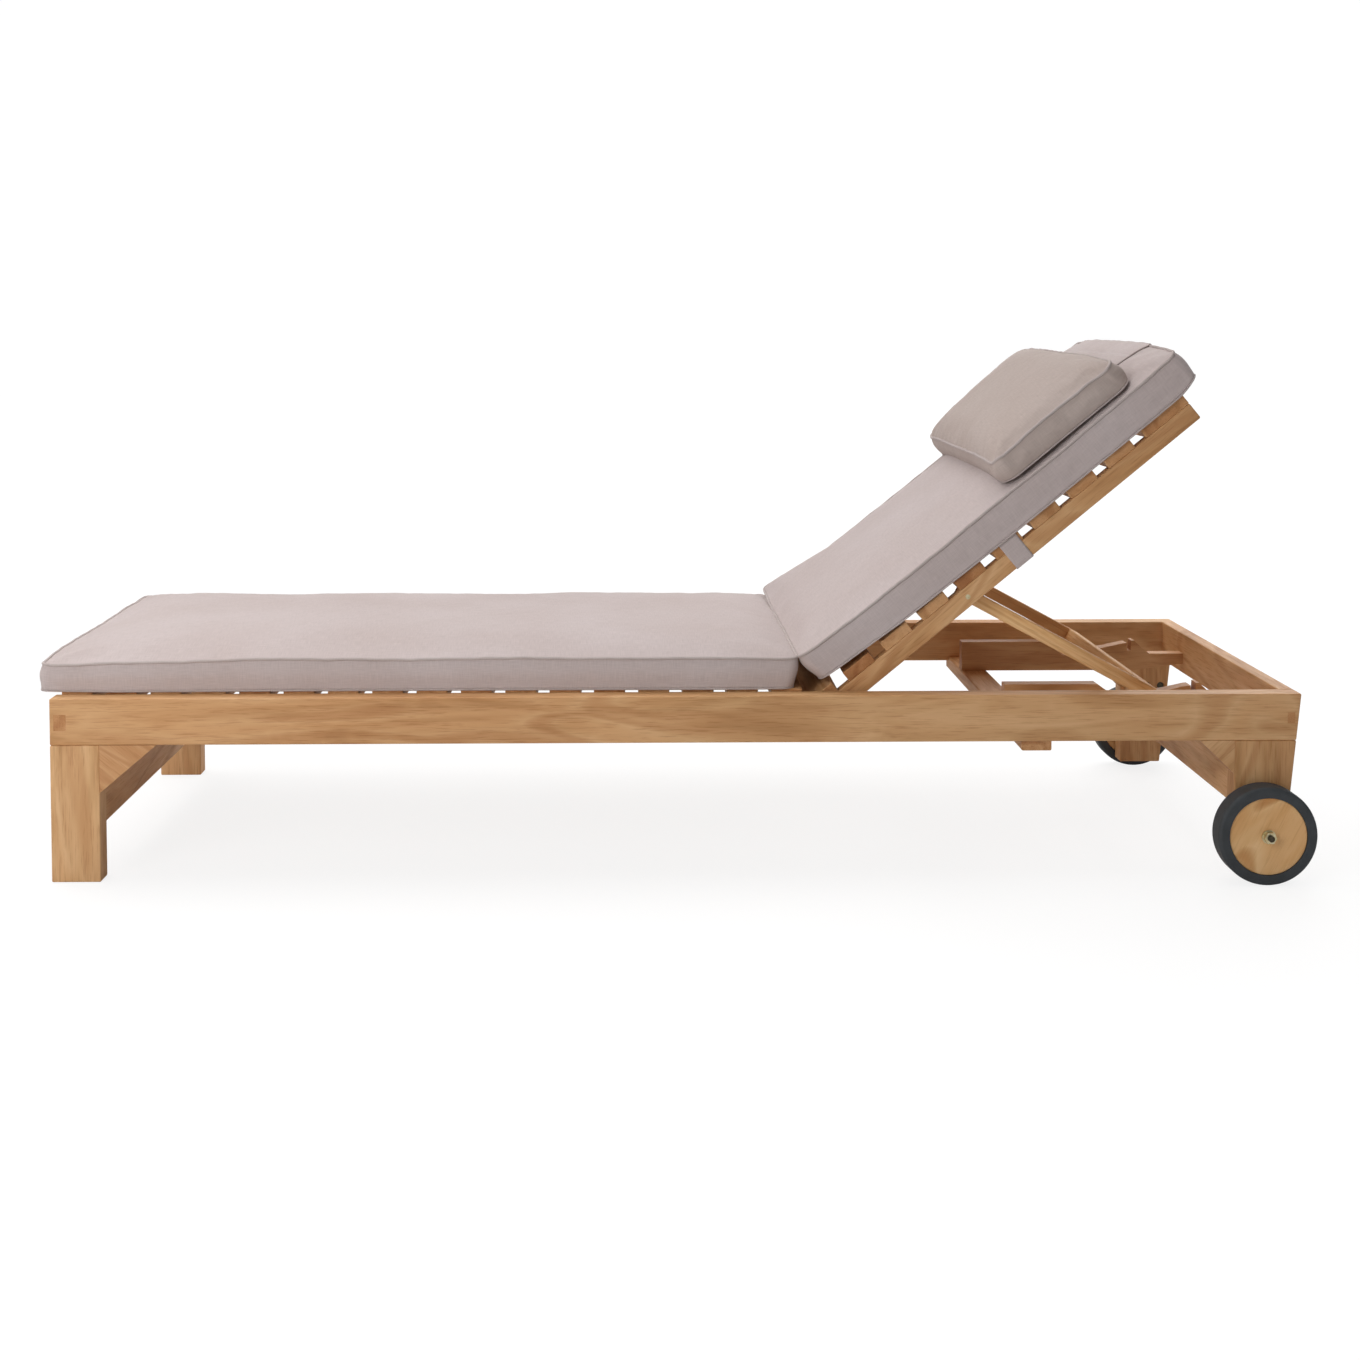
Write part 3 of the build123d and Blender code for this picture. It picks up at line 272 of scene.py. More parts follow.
def woven_canvas(name, light, shade):
    """Outdoor canvas in plain weave over a filling. It gives the eye a dull, even cloth of two close
    shades of thread with slubs along both ways, and a faint bloom where it turns away."""
    material, tree = new_finish(name)
    spot = add(tree, "ShaderNodeTexCoord")
    axes = add(tree, "ShaderNodeSeparateXYZ", Vector=spot.outputs["UV"])
    # threads along both ways, with slubs some 20 mm long and 1.5 mm wide
    waves = []
    slubs = []
    for axis, streak in (("X", (45.0, 700.0, 1.0)), ("Y", (700.0, 45.0, 1.0))):
        count = add(tree, "ShaderNodeMath", {"operation": "MULTIPLY"}, i0=axes.outputs[axis],
                    i1=math.pi / THREAD)
        waves.append(add(tree, "ShaderNodeMath", {"operation": "SINE"}, i0=count))
        drawn = add(tree, "ShaderNodeVectorMath", {"operation": "MULTIPLY"}, i0=spot.outputs["UV"],
                    i1=streak)
        slubs.append(add(tree, "ShaderNodeTexNoise", Vector=drawn, Scale=1.0, Detail=2.0))
    over = add(tree, "ShaderNodeMath", {"operation": "MULTIPLY"}, i0=waves[0], i1=waves[1])
    weave = add(tree, "ShaderNodeMapRange", Value=over, From_Min=-1.0, From_Max=1.0)
    both = add(tree, "ShaderNodeMath", {"operation": "ADD"}, i0=slubs[0], i1=slubs[1])
    threads = add(tree, "ShaderNodeMath", {"operation": "MULTIPLY_ADD"}, i0=weave, i1=0.25, i2=both)
    spread = add(tree, "ShaderNodeMapRange", Value=threads, From_Min=0.75, From_Max=1.5)
    cloth = add(tree, "ShaderNodeValToRGB", {"stops": ((0.0, shade), (1.0, light))}, Fac=spread)
    # sun and handling leave faint patches some 200 mm wide
    worn = add(tree, "ShaderNodeTexNoise", Vector=spot.outputs["Object"], Scale=5.0, Detail=3.0)
    faded = add(tree, "ShaderNodeValToRGB", {"stops": ((0.3, "#F6F3F1"), (0.7, "#FFFFFF"))}, Fac=worn)
    coloured = add(tree, "ShaderNodeMix", {"data_type": "RGBA", "blend_type": "MULTIPLY"}, i0=1.0,
                   i6=cloth, i7=faded).outputs[2]
    # the threads stand out, over soft rumples some 80 mm wide
    ridges = add(tree, "ShaderNodeBump", Strength=0.18, Distance=0.0003, Height=threads)
    ease = add(tree, "ShaderNodeTexNoise", Vector=spot.outputs["Object"], Scale=13.0, Detail=2.0)
    rumple = add(tree, "ShaderNodeBump", Strength=0.3, Distance=0.005, Height=ease, Normal=ridges)
    shader = add(tree, "ShaderNodeBsdfPrincipled", Base_Color=coloured, Roughness=0.86, IOR=1.45,
                 Sheen_Weight=0.08, Sheen_Roughness=0.45, Normal=rumple)
    add(tree, "ShaderNodeOutputMaterial", Surface=shader)
    return material


def moulded_rubber(name):
    """Solid moulded rubber, nearly black with a blue cast and a fine, matt skin."""
    material, tree = new_finish(name)
    spot = add(tree, "ShaderNodeTexCoord").outputs["Object"]
    # a skin of grains 1 mm wide, and dust in patches 30 mm wide
    skin = add(tree, "ShaderNodeTexNoise", Vector=spot, Scale=900.0, Detail=2.0)
    dust = add(tree, "ShaderNodeTexNoise", Vector=spot, Scale=35.0, Detail=4.0)
    coloured = add(tree, "ShaderNodeValToRGB", {"stops": ((0.35, "#34383B"), (0.7, "#404448"))},
                   Fac=dust)
    rough = add(tree, "ShaderNodeMapRange", Value=dust, From_Min=0.3, From_Max=0.7, To_Min=0.55,
                To_Max=0.7)
    relief = add(tree, "ShaderNodeBump", Strength=0.25, Distance=0.0003, Height=skin)
    shader = add(tree, "ShaderNodeBsdfPrincipled", Base_Color=coloured, Roughness=rough, IOR=1.5,
                 Normal=relief)
    add(tree, "ShaderNodeOutputMaterial", Surface=shader)
    return material


def plated_steel(name, thin, thick):
    """Plated steel, slightly cloudy between the two shades of its coat."""
    material, tree = new_finish(name)
    spot = add(tree, "ShaderNodeTexCoord").outputs["Object"]
    # clouds 4 mm wide
    cloud = add(tree, "ShaderNodeTexNoise", Vector=spot, Scale=260.0, Detail=3.0)
    coloured = add(tree, "ShaderNodeValToRGB", {"stops": ((0.3, thin), (0.7, thick))}, Fac=cloud)
    rough = add(tree, "ShaderNodeMapRange", Value=cloud, From_Min=0.3, From_Max=0.7, To_Min=0.28,
                To_Max=0.42)
    relief = add(tree, "ShaderNodeBump", Strength=0.12, Distance=0.0002, Height=cloud)
    shader = add(tree, "ShaderNodeBsdfPrincipled", Base_Color=coloured, Roughness=rough, Metallic=1.0,
                 Normal=relief)
    add(tree, "ShaderNodeOutputMaterial", Surface=shader)
    return material


def turned_nylon(name):
    """Turned black nylon with a dull, slightly waxy face."""
    material, tree = new_finish(name)
    spot = add(tree, "ShaderNodeTexCoord").outputs["Object"]
    # specks 2 mm wide
    turned = add(tree, "ShaderNodeTexNoise", Vector=spot, Scale=600.0, Detail=2.0)
    coloured = add(tree, "ShaderNodeValToRGB", {"stops": ((0.3, "#191919"), (0.7, "#232323"))},
                   Fac=turned)
    relief = add(tree, "ShaderNodeBump", Strength=0.2, Distance=0.0002, Height=turned)
    shader = add(tree, "ShaderNodeBsdfPrincipled", Base_Color=coloured, Roughness=0.45, IOR=1.53,
                 Normal=relief)
    add(tree, "ShaderNodeOutputMaterial", Surface=shader)
    return material


# Turns that bring a piece's grain to the pattern's x
ALONG_X = (0.0, 0.0, 0.0)
ALONG_Y = (0.0, 0.0, -math.pi / 2)
ALONG_Z = (0.0, math.pi / 2, 0.0)
ALONG_BACK = (0.0, BACK_ANGLE, 0.0)
ACROSS_BACK = (0.0, BACK_ANGLE, -math.pi / 2)
ALONG_PROP = (0.0, -PROP_ANGLE, 0.0)
ACROSS_PROP = (0.0, -PROP_ANGLE, -math.pi / 2)
ALONG_FOOT_KNEE = (0.0, FOOT_KNEE_ANGLE, 0.0)
ALONG_WHEEL_KNEE = (0.0, WHEEL_KNEE_ANGLE, 0.0)
OVER_DISC = (0.0, DISC_GRAIN_ANGLE, 0.0)
# The boards are counted from the first slat. The back slats' count starts half a gap before it, and
# is measured along the backrest from the frame's own origin.
BACK_ORIGIN = PIVOT.x * math.cos(BACK_ANGLE) + PIVOT.z * math.sin(BACK_ANGLE)
SEAT_BOARDS = (SEAT_PITCH, SEAT_FIRST - MIDDLE)
BACK_BOARDS = (BACK_PITCH, BACK_FIRST + BACK_ORIGIN - BACK_GAP_HALF)

canvas = woven_canvas("woven_taupe_canvas", "#CCBFBD", "#BAADAB")
# the pillow's canvas is warmer than the cushions' and darker, and its darkness is painted shade where the
# light falls off towards the head end
pillow_canvas_painted_shade = woven_canvas("woven_taupe_pillow_canvas", "#BFB0A9", "#AD9E97")
piping_cloth = woven_canvas("bias_cut_piping_canvas", "#C4B8B5", "#B1A5A2")
rubber = moulded_rubber("moulded_tyre_rubber")
zinc = plated_steel("yellow_zinc_plated_steel", "#CBBB8C", "#E6DDBE")
# a dark steel for the leg bolts and the stub axles, whose ends show dark in the middle of the wheel nuts
dark_steel = plated_steel("dark_plated_steel", "#3B362D", "#5C5548")
nylon = turned_nylon("turned_black_nylon")
teak_rail = oiled_teak("oiled_teak_side_rails", ALONG_X, seed=0.3)
# racks, cleats and knees lie in shade under the rails, the slats and the backrest, and dark paints that
# shade onto them
teak_inner = oiled_teak("oiled_teak_racks_and_cleats", ALONG_X, seed=2.1, dark=0.12)
teak_cross = oiled_teak("oiled_teak_cross_rails", ALONG_Y, seed=4.4)
teak_leg = oiled_teak("oiled_teak_legs", ALONG_Z, seed=5.2)
teak_foot_knee = oiled_teak("oiled_teak_foot_knees", ALONG_FOOT_KNEE, seed=6.5, dark=0.25)
teak_wheel_knee = oiled_teak("oiled_teak_wheel_knees", ALONG_WHEEL_KNEE, seed=7.7, dark=0.1)
teak_seat_slats = oiled_teak("oiled_teak_seat_slats", ALONG_Y, SEAT_BOARDS, seed=8.1)
teak_back_slats = oiled_teak("oiled_teak_back_slats", ACROSS_BACK, BACK_BOARDS, seed=9.3)
teak_back_rail = oiled_teak("oiled_teak_backrest_rails", ALONG_BACK, seed=10.2)
# prop arms, prop bar and wheel discs lie in shade, and the paler ground paints light onto them
teak_prop = oiled_teak("oiled_teak_prop_arms", ALONG_PROP, seed=11.4, ground=PAINTED_LIGHT_WOOD)
teak_bar = oiled_teak("oiled_teak_prop_bar", ACROSS_PROP, seed=12.6, ground=PAINTED_LIGHT_WOOD)
teak_wheel = oiled_teak("oiled_teak_wheel_discs", OVER_DISC, seed=13.9, sawn=FLAT_SAWN, ground=PAINTED_LIGHT_WOOD)

# The finish of every CAD node whose name starts so. The longest start that fits counts.
finishes = {
    "side_rail": teak_rail, "foot_end_rail": teak_cross, "head_end_rail": teak_cross,
    "foot_leg": teak_leg, "wheel_leg": teak_leg, "foot_knee": teak_foot_knee,
    "wheel_knee": teak_wheel_knee, "foot_stretcher": teak_cross, "wheel_stretcher": teak_cross,
    "leg_bolts": dark_steel, "rack_beam": teak_cross, "rack": teak_inner, "slat_cleat": teak_inner,
    "seat_slats": teak_seat_slats, "backrest_pivots": zinc, "stub_axles": dark_steel,
    "axle_fittings": zinc, "back_rail": teak_back_rail, "back_slat": teak_back_slats,
    "head_slat": teak_back_slats, "prop_bolts": zinc, "prop_arm": teak_prop, "prop_bar": teak_bar,
    "wheel_disc": teak_wheel, "tyre": rubber, "wheel_bush": nylon, "cushion_straps": canvas,
    "seat_cushion": canvas, "back_cushion": canvas, "head_pillow": canvas, "pillow_flap": canvas}
for node_name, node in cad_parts.items():
    stem = max((key for key in finishes if node_name.startswith(key)), key=len)
    if node.data.materials:
        node.material_slots[0].material = finishes[stem]
    else:
        node.data.materials.append(finishes[stem])


# Pieces in the frame's and the backrest's own lengths
def on_frame(points):
    """Points of the frame's drawing, taken to the CAD's frame."""
    moved = np.array(points, float)
    moved[:, 0] -= MIDDLE
    return moved


def on_backrest(points):
    """Points along, across and out of the backrest, taken to the CAD's frame."""
    along, across, out = np.array(points, float).T
    level, rise = math.cos(BACK_ANGLE), math.sin(BACK_ANGLE)
    return np.stack([PIVOT.x + along * level - out * rise, across,
                     PIVOT.z + along * rise + out * level], axis=1)


def new_piece(name, points, faces, material, corners=None):
    """A mesh object at the origin, with its place in its mesh. corners are the UV of each face's
    corners, in metres of cloth."""
    mesh = bpy.data.meshes.new(name)
    mesh.from_pydata([tuple(p) for p in points], [], [tuple(f) for f in faces])
    if corners is not None:
        layer = mesh.uv_layers.new(name="cloth")
        layer.data.foreach_set("uv", [c for face in corners for pair in face for c in pair])
    mesh.materials.append(material)
    mesh.update()
    piece = bpy.data.objects.new(name, mesh)
    bpy.context.scene.collection.objects.link(piece)
    return piece


def finished(piece):
    """The piece with its modifiers applied, as a plain smooth mesh."""
    bpy.context.view_layer.update()
    done = bpy.data.meshes.new_from_object(piece.evaluated_get(bpy.context.evaluated_depsgraph_get()))
    old = piece.data
    piece.modifiers.clear()
    piece.data = done
    done.name = piece.name
    bpy.data.meshes.remove(old)
    done.polygons.foreach_set("use_smooth", [True] * len(done.polygons))
    done.update()
    return piece


# Cushions
def rounded_corner(along, across, half_along, half_across, radius):
    """Takes a point of a rectangle's grid to the same rectangle with round corners."""
    far = (abs(along) - (half_along - radius)) / radius
    wide = (abs(across) - (half_across - radius)) / radius
    if far <= 0 or wide <= 0:
        return along, across
    return (math.copysign(half_along - radius + radius * far * math.sqrt(1 - wide * wide / 2), along),
            math.copysign(half_across - radius + radius * wide * math.sqrt(1 - far * far / 2), across))


def uneven(x, y, phases):
    """Waves 0.2 to 1 m long and up to a millimetre high, as the filling leaves them in a panel."""
    along, across = LARGER_WAVES
    larger = math.sin(along * x + phases[0] + math.sin(across * y + phases[1]))
    along, slant, across = SMALLER_WAVES
    smaller = math.sin(along * x - slant * y + phases[2]) * math.sin(across * y + phases[3])
    return UNEVEN * (larger + SMALLER_SHARE * smaller)


def panels(stations, lie, reach, make, rng):
    """The grid of a boxed cover's top and bottom panels: its points in pairs, upper one first, their
    cloth laid flat, and the number of cells along and over. The top's crown falls off at the ends,
    its left edge is raised by the lie, and its end seams are pushed by the reach."""
    table = np.array(stations)
    start, end = table[0, 0], table[-1, 0]
    half_length, middle = (end - start) / 2, (start + end) / 2
    along = round((end - start) / make["cell"])
    over = round(2 * table[:, 1].mean() / make["cell"])
    phases = rng.uniform(0, 2 * math.pi, 4)
    points, cloth = [], []
    for i in range(along + 1):
        for j in range(over + 1):
            ahead = -half_length + 2 * half_length * i / along
            half_width = float(np.interp(middle + ahead, table[:, 0], table[:, 1]))
            y = -half_width + 2 * half_width * j / over
            ahead, y = rounded_corner(ahead, y, half_length, half_width, make["corner"])
            x = middle + ahead
            end_share, side_share = ahead / half_length, y / half_width
            low, seam, crown = (float(np.interp(x, table[:, 0], table[:, k])) for k in (2, 3, 4))
            full = (1 - abs(side_share) ** CROWN_POWER) * (1 - END_DROP * abs(end_share) ** END_POWER)
            raised = lie[2] + (lie[0] - lie[2]) * math.exp(-((x - start) / lie[1]) ** 2)
            right, centre, left = reach[0] if ahead < 0 else reach[1]
            pushed = (centre + (left - right) / 2 * side_share
                      + ((left + right) / 2 - centre) * side_share ** 2)
            rise = crown * full + raised * max(0.0, side_share) ** LIE_POWER + uneven(x, y, phases)
            points.append((x + pushed * end_share ** REACH_POWER, y, seam + rise))
            points.append((middle + ahead * (1 - TUCK / half_length), y * (1 - TUCK / half_width),
                           low + make["arch"] * full))
            cloth += [(x, y), (x + LOW_UV, y)]
    return points, cloth, along, over


def boxed_cover(stations, lie, reach, place, make, rng):
    """A boxed cushion's cover as one closed grid of three panels: its points, faces and the UV of
    their corners, the loops of its two seams, and the points of its bottom panel."""
    points, cloth, along, over = panels(stations, lie, reach, make, rng)

    def upper(i, j):
        """The number of an upper point. The lower one comes right after it."""
        return 2 * (i * (over + 1) + j)

    held = list(range(1, len(points), 2))
    # once round the panels' edges
    ring = [(i, 0) for i in range(along)] + [(along, j) for j in range(over)]
    ring += [(i, over) for i in range(along, 0, -1)] + [(0, j) for j in range(over, 0, -1)]
    top_loop = [upper(i, j) for i, j in ring]
    low_loop = [spot + 1 for spot in top_loop]
    seam = np.array([points[spot] for spot in top_loop])
    foot = np.array([points[spot] for spot in low_loop])
    runs = np.roll(seam, -1, axis=0) - np.roll(seam, 1, axis=0)
    steps = np.linalg.norm((np.roll(seam, -1, axis=0) - seam)[:, :2], axis=1)
    path = np.concatenate([[0.0], np.cumsum(steps)])
    side = []
    for k in range(len(ring)):
        out = np.array([runs[k, 1], -runs[k, 0]]) / np.linalg.norm(runs[k, :2])
        column = [top_loop[k]]
        for row in range(1, SIDE_ROWS):
            down = row / SIDE_ROWS
            spot = seam[k] * (1 - down) + foot[k] * down
            swell = SIDE_SWELL * (1 + abs(out[0])) + TUCK * down
            swell *= math.sin(math.pi * down) ** SIDE_POWER
            column.append(len(points))
            points.append((spot[0] + out[0] * swell, spot[1] + out[1] * swell, spot[2]))
        side.append(column + [low_loop[k]])
    faces, corners = [], []
    for i in range(along):
        for j in range(over):
            top = [upper(i, j), upper(i + 1, j), upper(i + 1, j + 1), upper(i, j + 1)]
            low = [top[0] + 1, top[3] + 1, top[2] + 1, top[1] + 1]
            faces += [top, low]
            corners += [[cloth[spot] for spot in top], [cloth[spot] for spot in low]]
    for k in range(len(ring)):
        here, after = side[k], side[(k + 1) % len(ring)]
        near, far = path[k] + SIDE_UV, path[k + 1] + SIDE_UV
        for row in range(SIDE_ROWS):
            faces.append([here[row], here[row + 1], after[row + 1], after[row]])
            high, low = points[here[row]][2], points[here[row + 1]][2]
            corners.append([(near, high), (near, low), (far, low), (far, high)])
    points = np.array(points, float)
    ease = rng.normal(0.0, 1.0, (len(points), 3)) * RANDOM_EASE
    ease[held] = 0.0
    return place(points + ease), faces, corners, top_loop, low_loop, held


def blow_up(piece, held, make):
    """Blows the cover up as cloth over its filling, with its bottom panel held, and then keeps each
    point within the cap of its start."""
    rest = np.array([v.co for v in piece.data.vertices], float)
    group = piece.vertex_groups.new(name="rests")
    group.add(held, 1.0, "REPLACE")
    cloth = piece.modifiers.new("cover", "CLOTH")
    settings = cloth.settings
    for key, value in COVER_CLOTH.items():
        setattr(settings, key, value)
    settings.use_pressure = True
    settings.uniform_pressure_force = make["pressure"]
    settings.shrink_min = -make["slack"]
    settings.shrink_max = -make["slack"]
    settings.vertex_group_mass = "rests"
    settings.effector_weights.gravity = 0.0
    cloth.point_cache.frame_start = 1
    cloth.point_cache.frame_end = BLOW_FRAMES
    for moment in range(1, BLOW_FRAMES + 1):
        bpy.context.scene.frame_set(moment)
    shaped = piece.evaluated_get(bpy.context.evaluated_depsgraph_get()).to_mesh()
    moved = np.array([v.co for v in shaped.vertices], float) - rest
    piece.modifiers.clear()
    length = np.linalg.norm(moved, axis=1)
    factor = np.minimum(1.0, make["cap"] / np.maximum(length, 1e-9))
    piece.data.vertices.foreach_set("co", (rest + moved * factor[:, None]).ravel())
    piece.data.update()
    bpy.context.scene.frame_set(1)


def crease(piece, *loops):
    """Keeps the seams crisp when the cover is subdivided."""
    edges = {frozenset((loop[k], loop[(k + 1) % len(loop)])) for loop in loops for k in range(len(loop))}
    values = piece.data.attributes.new("crease_edge", "FLOAT", "EDGE")
    marks = [SEAM_CREASE if frozenset(e.vertices) in edges else 0.0 for e in piece.data.edges]
    values.data.foreach_set("value", marks)


def piping(name, seam, radius):
    """A round cord along a closed seam, with its cloth laid along it in UV."""
    line = (np.roll(seam, 1, axis=0) + 2 * seam + np.roll(seam, -1, axis=0)) / 4
    count = len(line)
    run = np.roll(line, -1, axis=0) - np.roll(line, 1, axis=0)
    run /= np.linalg.norm(run, axis=1)[:, None]
    out = np.cross(run, (0.0, 0.0, 1.0))
    out /= np.linalg.norm(out, axis=1)[:, None]
    rise = np.cross(out, run)
    turn = np.linspace(0, 2 * np.pi, PIPING_SIDES, endpoint=False)[None, :, None]
    rings = line[:, None] + radius * (np.cos(turn) * out[:, None] + np.sin(turn) * rise[:, None])
    step = np.linalg.norm(np.roll(line, -1, axis=0) - line, axis=1)
    path = np.concatenate([[0.0], np.cumsum(step)])
    girth = 2 * math.pi * radius / PIPING_SIDES
    faces, corners = [], []
    for k in range(count):
        here, after = k * PIPING_SIDES, (k + 1) % count * PIPING_SIDES
        for m in range(PIPING_SIDES):
            beside = (m + 1) % PIPING_SIDES
            faces.append((here + m, here + beside, after + beside, after + m))
            corners.append([(path[k], m * girth), (path[k], (m + 1) * girth),
                            (path[k + 1], (m + 1) * girth), (path[k + 1], m * girth)])
    cord = new_piece(name, rings.reshape(-1, 3), faces, piping_cloth, corners)
    cord.data.polygons.foreach_set("use_smooth", [True] * len(faces))
    return cord


def cushion(name, shape, place, make, body, node, cloth, seed):
    """A boxed cushion: its cover, blown up and subdivided, and the piping in its two seams. shape is
    its stations, lie and reach."""
    rng = np.random.default_rng(seed)
    points, faces, corners, top_loop, low_loop, held = boxed_cover(*shape, place, make, rng)
    piece = new_piece(name, points, faces, cloth, corners)
    blow_up(piece, held, make)
    seams = [np.array([piece.data.vertices[v].co for v in loop]) for loop in (top_loop, low_loop)]
    crease(piece, top_loop, low_loop)
    smooth = piece.modifiers.new("subdivide", "SUBSURF")
    smooth.levels = smooth.render_levels = 1
    finished(piece)
    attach(piece, body)
    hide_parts(node)
    cords = []
    for label, seam, radius in (("upper", seams[0], PIPING), ("lower", seams[1], LOW_PIPING)):
        cord = piping(name + "_piping_" + label, seam, radius)
        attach(cord, body)
        cords.append(cord)
    return [piece] + cords


cushion("seat_cushion_cover", (SEAT_PAD, SEAT_LIE, SEAT_REACH), on_frame, PAD_MAKE, "frame",
        "seat_cushion", canvas, 11)
back_pad = cushion("back_cushion_cover", (BACK_PAD, BACK_LIE, BACK_REACH), on_backrest, PAD_MAKE,
                   "backrest", "back_cushion", canvas, 12)
cushion("head_pillow_cover", (HEAD_PAD, HEAD_LIE, HEAD_REACH), on_backrest, PILLOW_MAKE, "backrest",
        "head_pillow", pillow_canvas_painted_shade, 13)


# Straps and band
def sewn_strip(name, rows, across, thick):
    """A doubled strip of canvas through rows of points along, across and out of the backrest, each
    row as wide as across says, and the strip's length over its middle."""
    middle = rows[:, len(across) // 2]
    path = np.concatenate([[0.0], np.cumsum(np.linalg.norm(np.diff(middle, axis=0), axis=1))])
    over = len(across)
    faces, corners = [], []
    for i in range(len(rows) - 1):
        for j in range(over - 1):
            here, after = i * over + j, (i + 1) * over + j
            faces.append((here, after, after + 1, here + 1))
            corners.append([(path[i], across[j]), (path[i + 1], across[j]),
                            (path[i + 1], across[j + 1]), (path[i], across[j + 1])])
    piece = new_piece(name, on_backrest(rows.reshape(-1, 3)), faces, canvas, corners)
    doubled = piece.modifiers.new("doubled", "SOLIDIFY")
    doubled.thickness = thick
    doubled.offset = 0.0
    return piece, float(path[-1])


def rounded_path(points, radius):
    """The points' line with each corner turned on a small arc."""
    points = [np.array(point, float) for point in points]
    line = [points[0]]
    for before, here, after in zip(points, points[1:], points[2:]):
        back, ahead = before - here, after - here
        cut = min(radius, np.linalg.norm(back) / 2, np.linalg.norm(ahead) / 2)
        first = here + back / np.linalg.norm(back) * cut
        last = here + ahead / np.linalg.norm(ahead) * cut
        for share in np.linspace(0.0, 1.0, STRAP_BEND_STEPS + 1):
            line.append((1 - share) ** 2 * first + 2 * share * (1 - share) * here + share ** 2 * last)
    line.append(points[-1])
    return line


def strap(side, label):
    """The cloth strap from under the back cushion, round the backrest's rail, and its length."""
    across = np.linspace(STRAP_START, STRAP_START + STRAP_WIDE, STRAP_COLUMNS)
    rows = np.array([[(along, -side * y, out) for along in across]
                     for y, out in rounded_path(STRAP_WAY, STRAP_BEND)])
    piece, length = sewn_strip("rail_strap_" + label, rows, across, STRAP_THICK)
    if side > 0:
        piece.data.flip_normals()
    return finished(piece), length


for side, label in ((-1, "right"), (1, "left")):
    laid, strap_length = strap(side, label)
    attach(laid, "backrest")
    if side < 0:
        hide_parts("cushion_straps")


def band_rays():
    """The band's rays along and out of the backrest, each a start and a way: first down on the back
    cushion, and then round its head end."""
    heart = np.array(BAND_HEART)
    rays = [(np.array((along, heart[1] + BAND_FAR)), np.array((0.0, -1.0)))
            for along in np.arange(BAND_START, heart[0], BAND_STEP)]
    for k in range(BAND_TURNS):
        turn = math.radians(90 - k * BAND_TURN)
        out = np.array((math.cos(turn), math.sin(turn)))
        rays.append((heart + BAND_FAR * out, -out))
    return rays


def pillow_band():
    """The band sewn to the pillow that goes over the head of the back cushion. It is laid down ray
    by ray on the blown-up cushion and its piping, and given back with its length."""
    under = [BVHTree.FromPolygons([v.co.copy() for v in piece.data.vertices],
                                  [tuple(f.vertices) for f in piece.data.polygons]) for piece in back_pad]
    rays = band_rays()
    across = np.linspace(-BAND_RIGHT, BAND_LEFT, BAND_COLUMNS)
    reach = np.zeros((len(rays), len(across)))
    for i, (start, way) in enumerate(rays):
        for j, y in enumerate(across):
            source, aim = on_backrest([(start[0], y, start[1]), (start[0] + way[0], y, start[1] + way[1])])
            hits = (tree.ray_cast(Vector(source), Vector(aim - source))[3] for tree in under)
            reach[i, j] = min((hit for hit in hits if hit), default=BAND_FAR)
    for _ in range(BAND_EASINGS):
        spread = np.pad(reach, 1, mode="edge")
        mean = (spread[:-2, 1:-1] + spread[2:, 1:-1] + spread[1:-1, :-2] + spread[1:-1, 2:]) / 4
        reach = np.minimum(reach, 0.5 * reach + 0.5 * mean)
    rows = np.zeros((len(rays), len(across), 3))
    for i, (start, way) in enumerate(rays):
        spots = start + way * (reach[i] - BAND_CLEAR)[:, None]
        rows[i] = np.stack([spots[:, 0], across, spots[:, 1]], axis=1)
    piece, length = sewn_strip("pillow_band", rows, across, BAND_THICK)
    return finished(piece), length


flap, flap_length = pillow_band()
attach(flap, "backrest")
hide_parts("pillow_flap")


# Plugs over the slats' screws
def plug_rows(name, first, step, count, side_step, tilt, body, material):
    """Teak plugs over the slats' screws, a row on each side, made by a node tree."""
    tree = bpy.data.node_groups.new(name + "_rows", "GeometryNodeTree")
    face = tree.interface
    face.new_socket("Geometry", in_out="OUTPUT", socket_type="NodeSocketGeometry")
    wanted = (("First", "NodeSocketVector", first), ("Step", "NodeSocketVector", step),
              ("Side Step", "NodeSocketVector", side_step), ("Count", "NodeSocketInt", count),
              ("Tilt", "NodeSocketVector", tilt), ("Radius", "NodeSocketFloat", PLUG_RADIUS),
              ("Depth", "NodeSocketFloat", PLUG_DEPTH))
    sockets = {label: face.new_socket(label, in_out="INPUT", socket_type=kind) for label, kind, _ in wanted}
    given = add(tree, "NodeGroupInput").outputs
    row = add(tree, "GeometryNodeMeshLine", Count=given["Count"], Start_Location=given["First"],
              Offset=given["Step"])
    other = add(tree, "GeometryNodeTransform", Geometry=row, Translation=given["Side Step"])
    both = add(tree, "GeometryNodeJoinGeometry")
    for part in (row, other):
        tree.links.new(part.outputs[0], both.inputs[0])
    narrow = add(tree, "ShaderNodeMath", {"operation": "MULTIPLY"}, i0=given["Radius"], i1=PLUG_TAPER)
    plug = add(tree, "GeometryNodeMeshCone", Vertices=PLUG_SIDES, Radius_Top=narrow,
               Radius_Bottom=given["Radius"], Depth=given["Depth"])
    spread = add(tree, "GeometryNodeInstanceOnPoints", Points=both, Instance=plug, Rotation=given["Tilt"])
    real = add(tree, "GeometryNodeRealizeInstances", Geometry=spread)
    painted = add(tree, "GeometryNodeSetMaterial", Geometry=real, Material=material)
    add(tree, "NodeGroupOutput", Geometry=painted)
    piece = new_piece(name, [], [], material)
    made = piece.modifiers.new("rows", "NODES")
    made.node_group = tree
    for label, _, value in wanted:
        made[sockets[label].identifier] = value
    finished(piece)
    piece.data.polygons.foreach_set("use_smooth", [False] * len(piece.data.polygons))
    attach(piece, body)


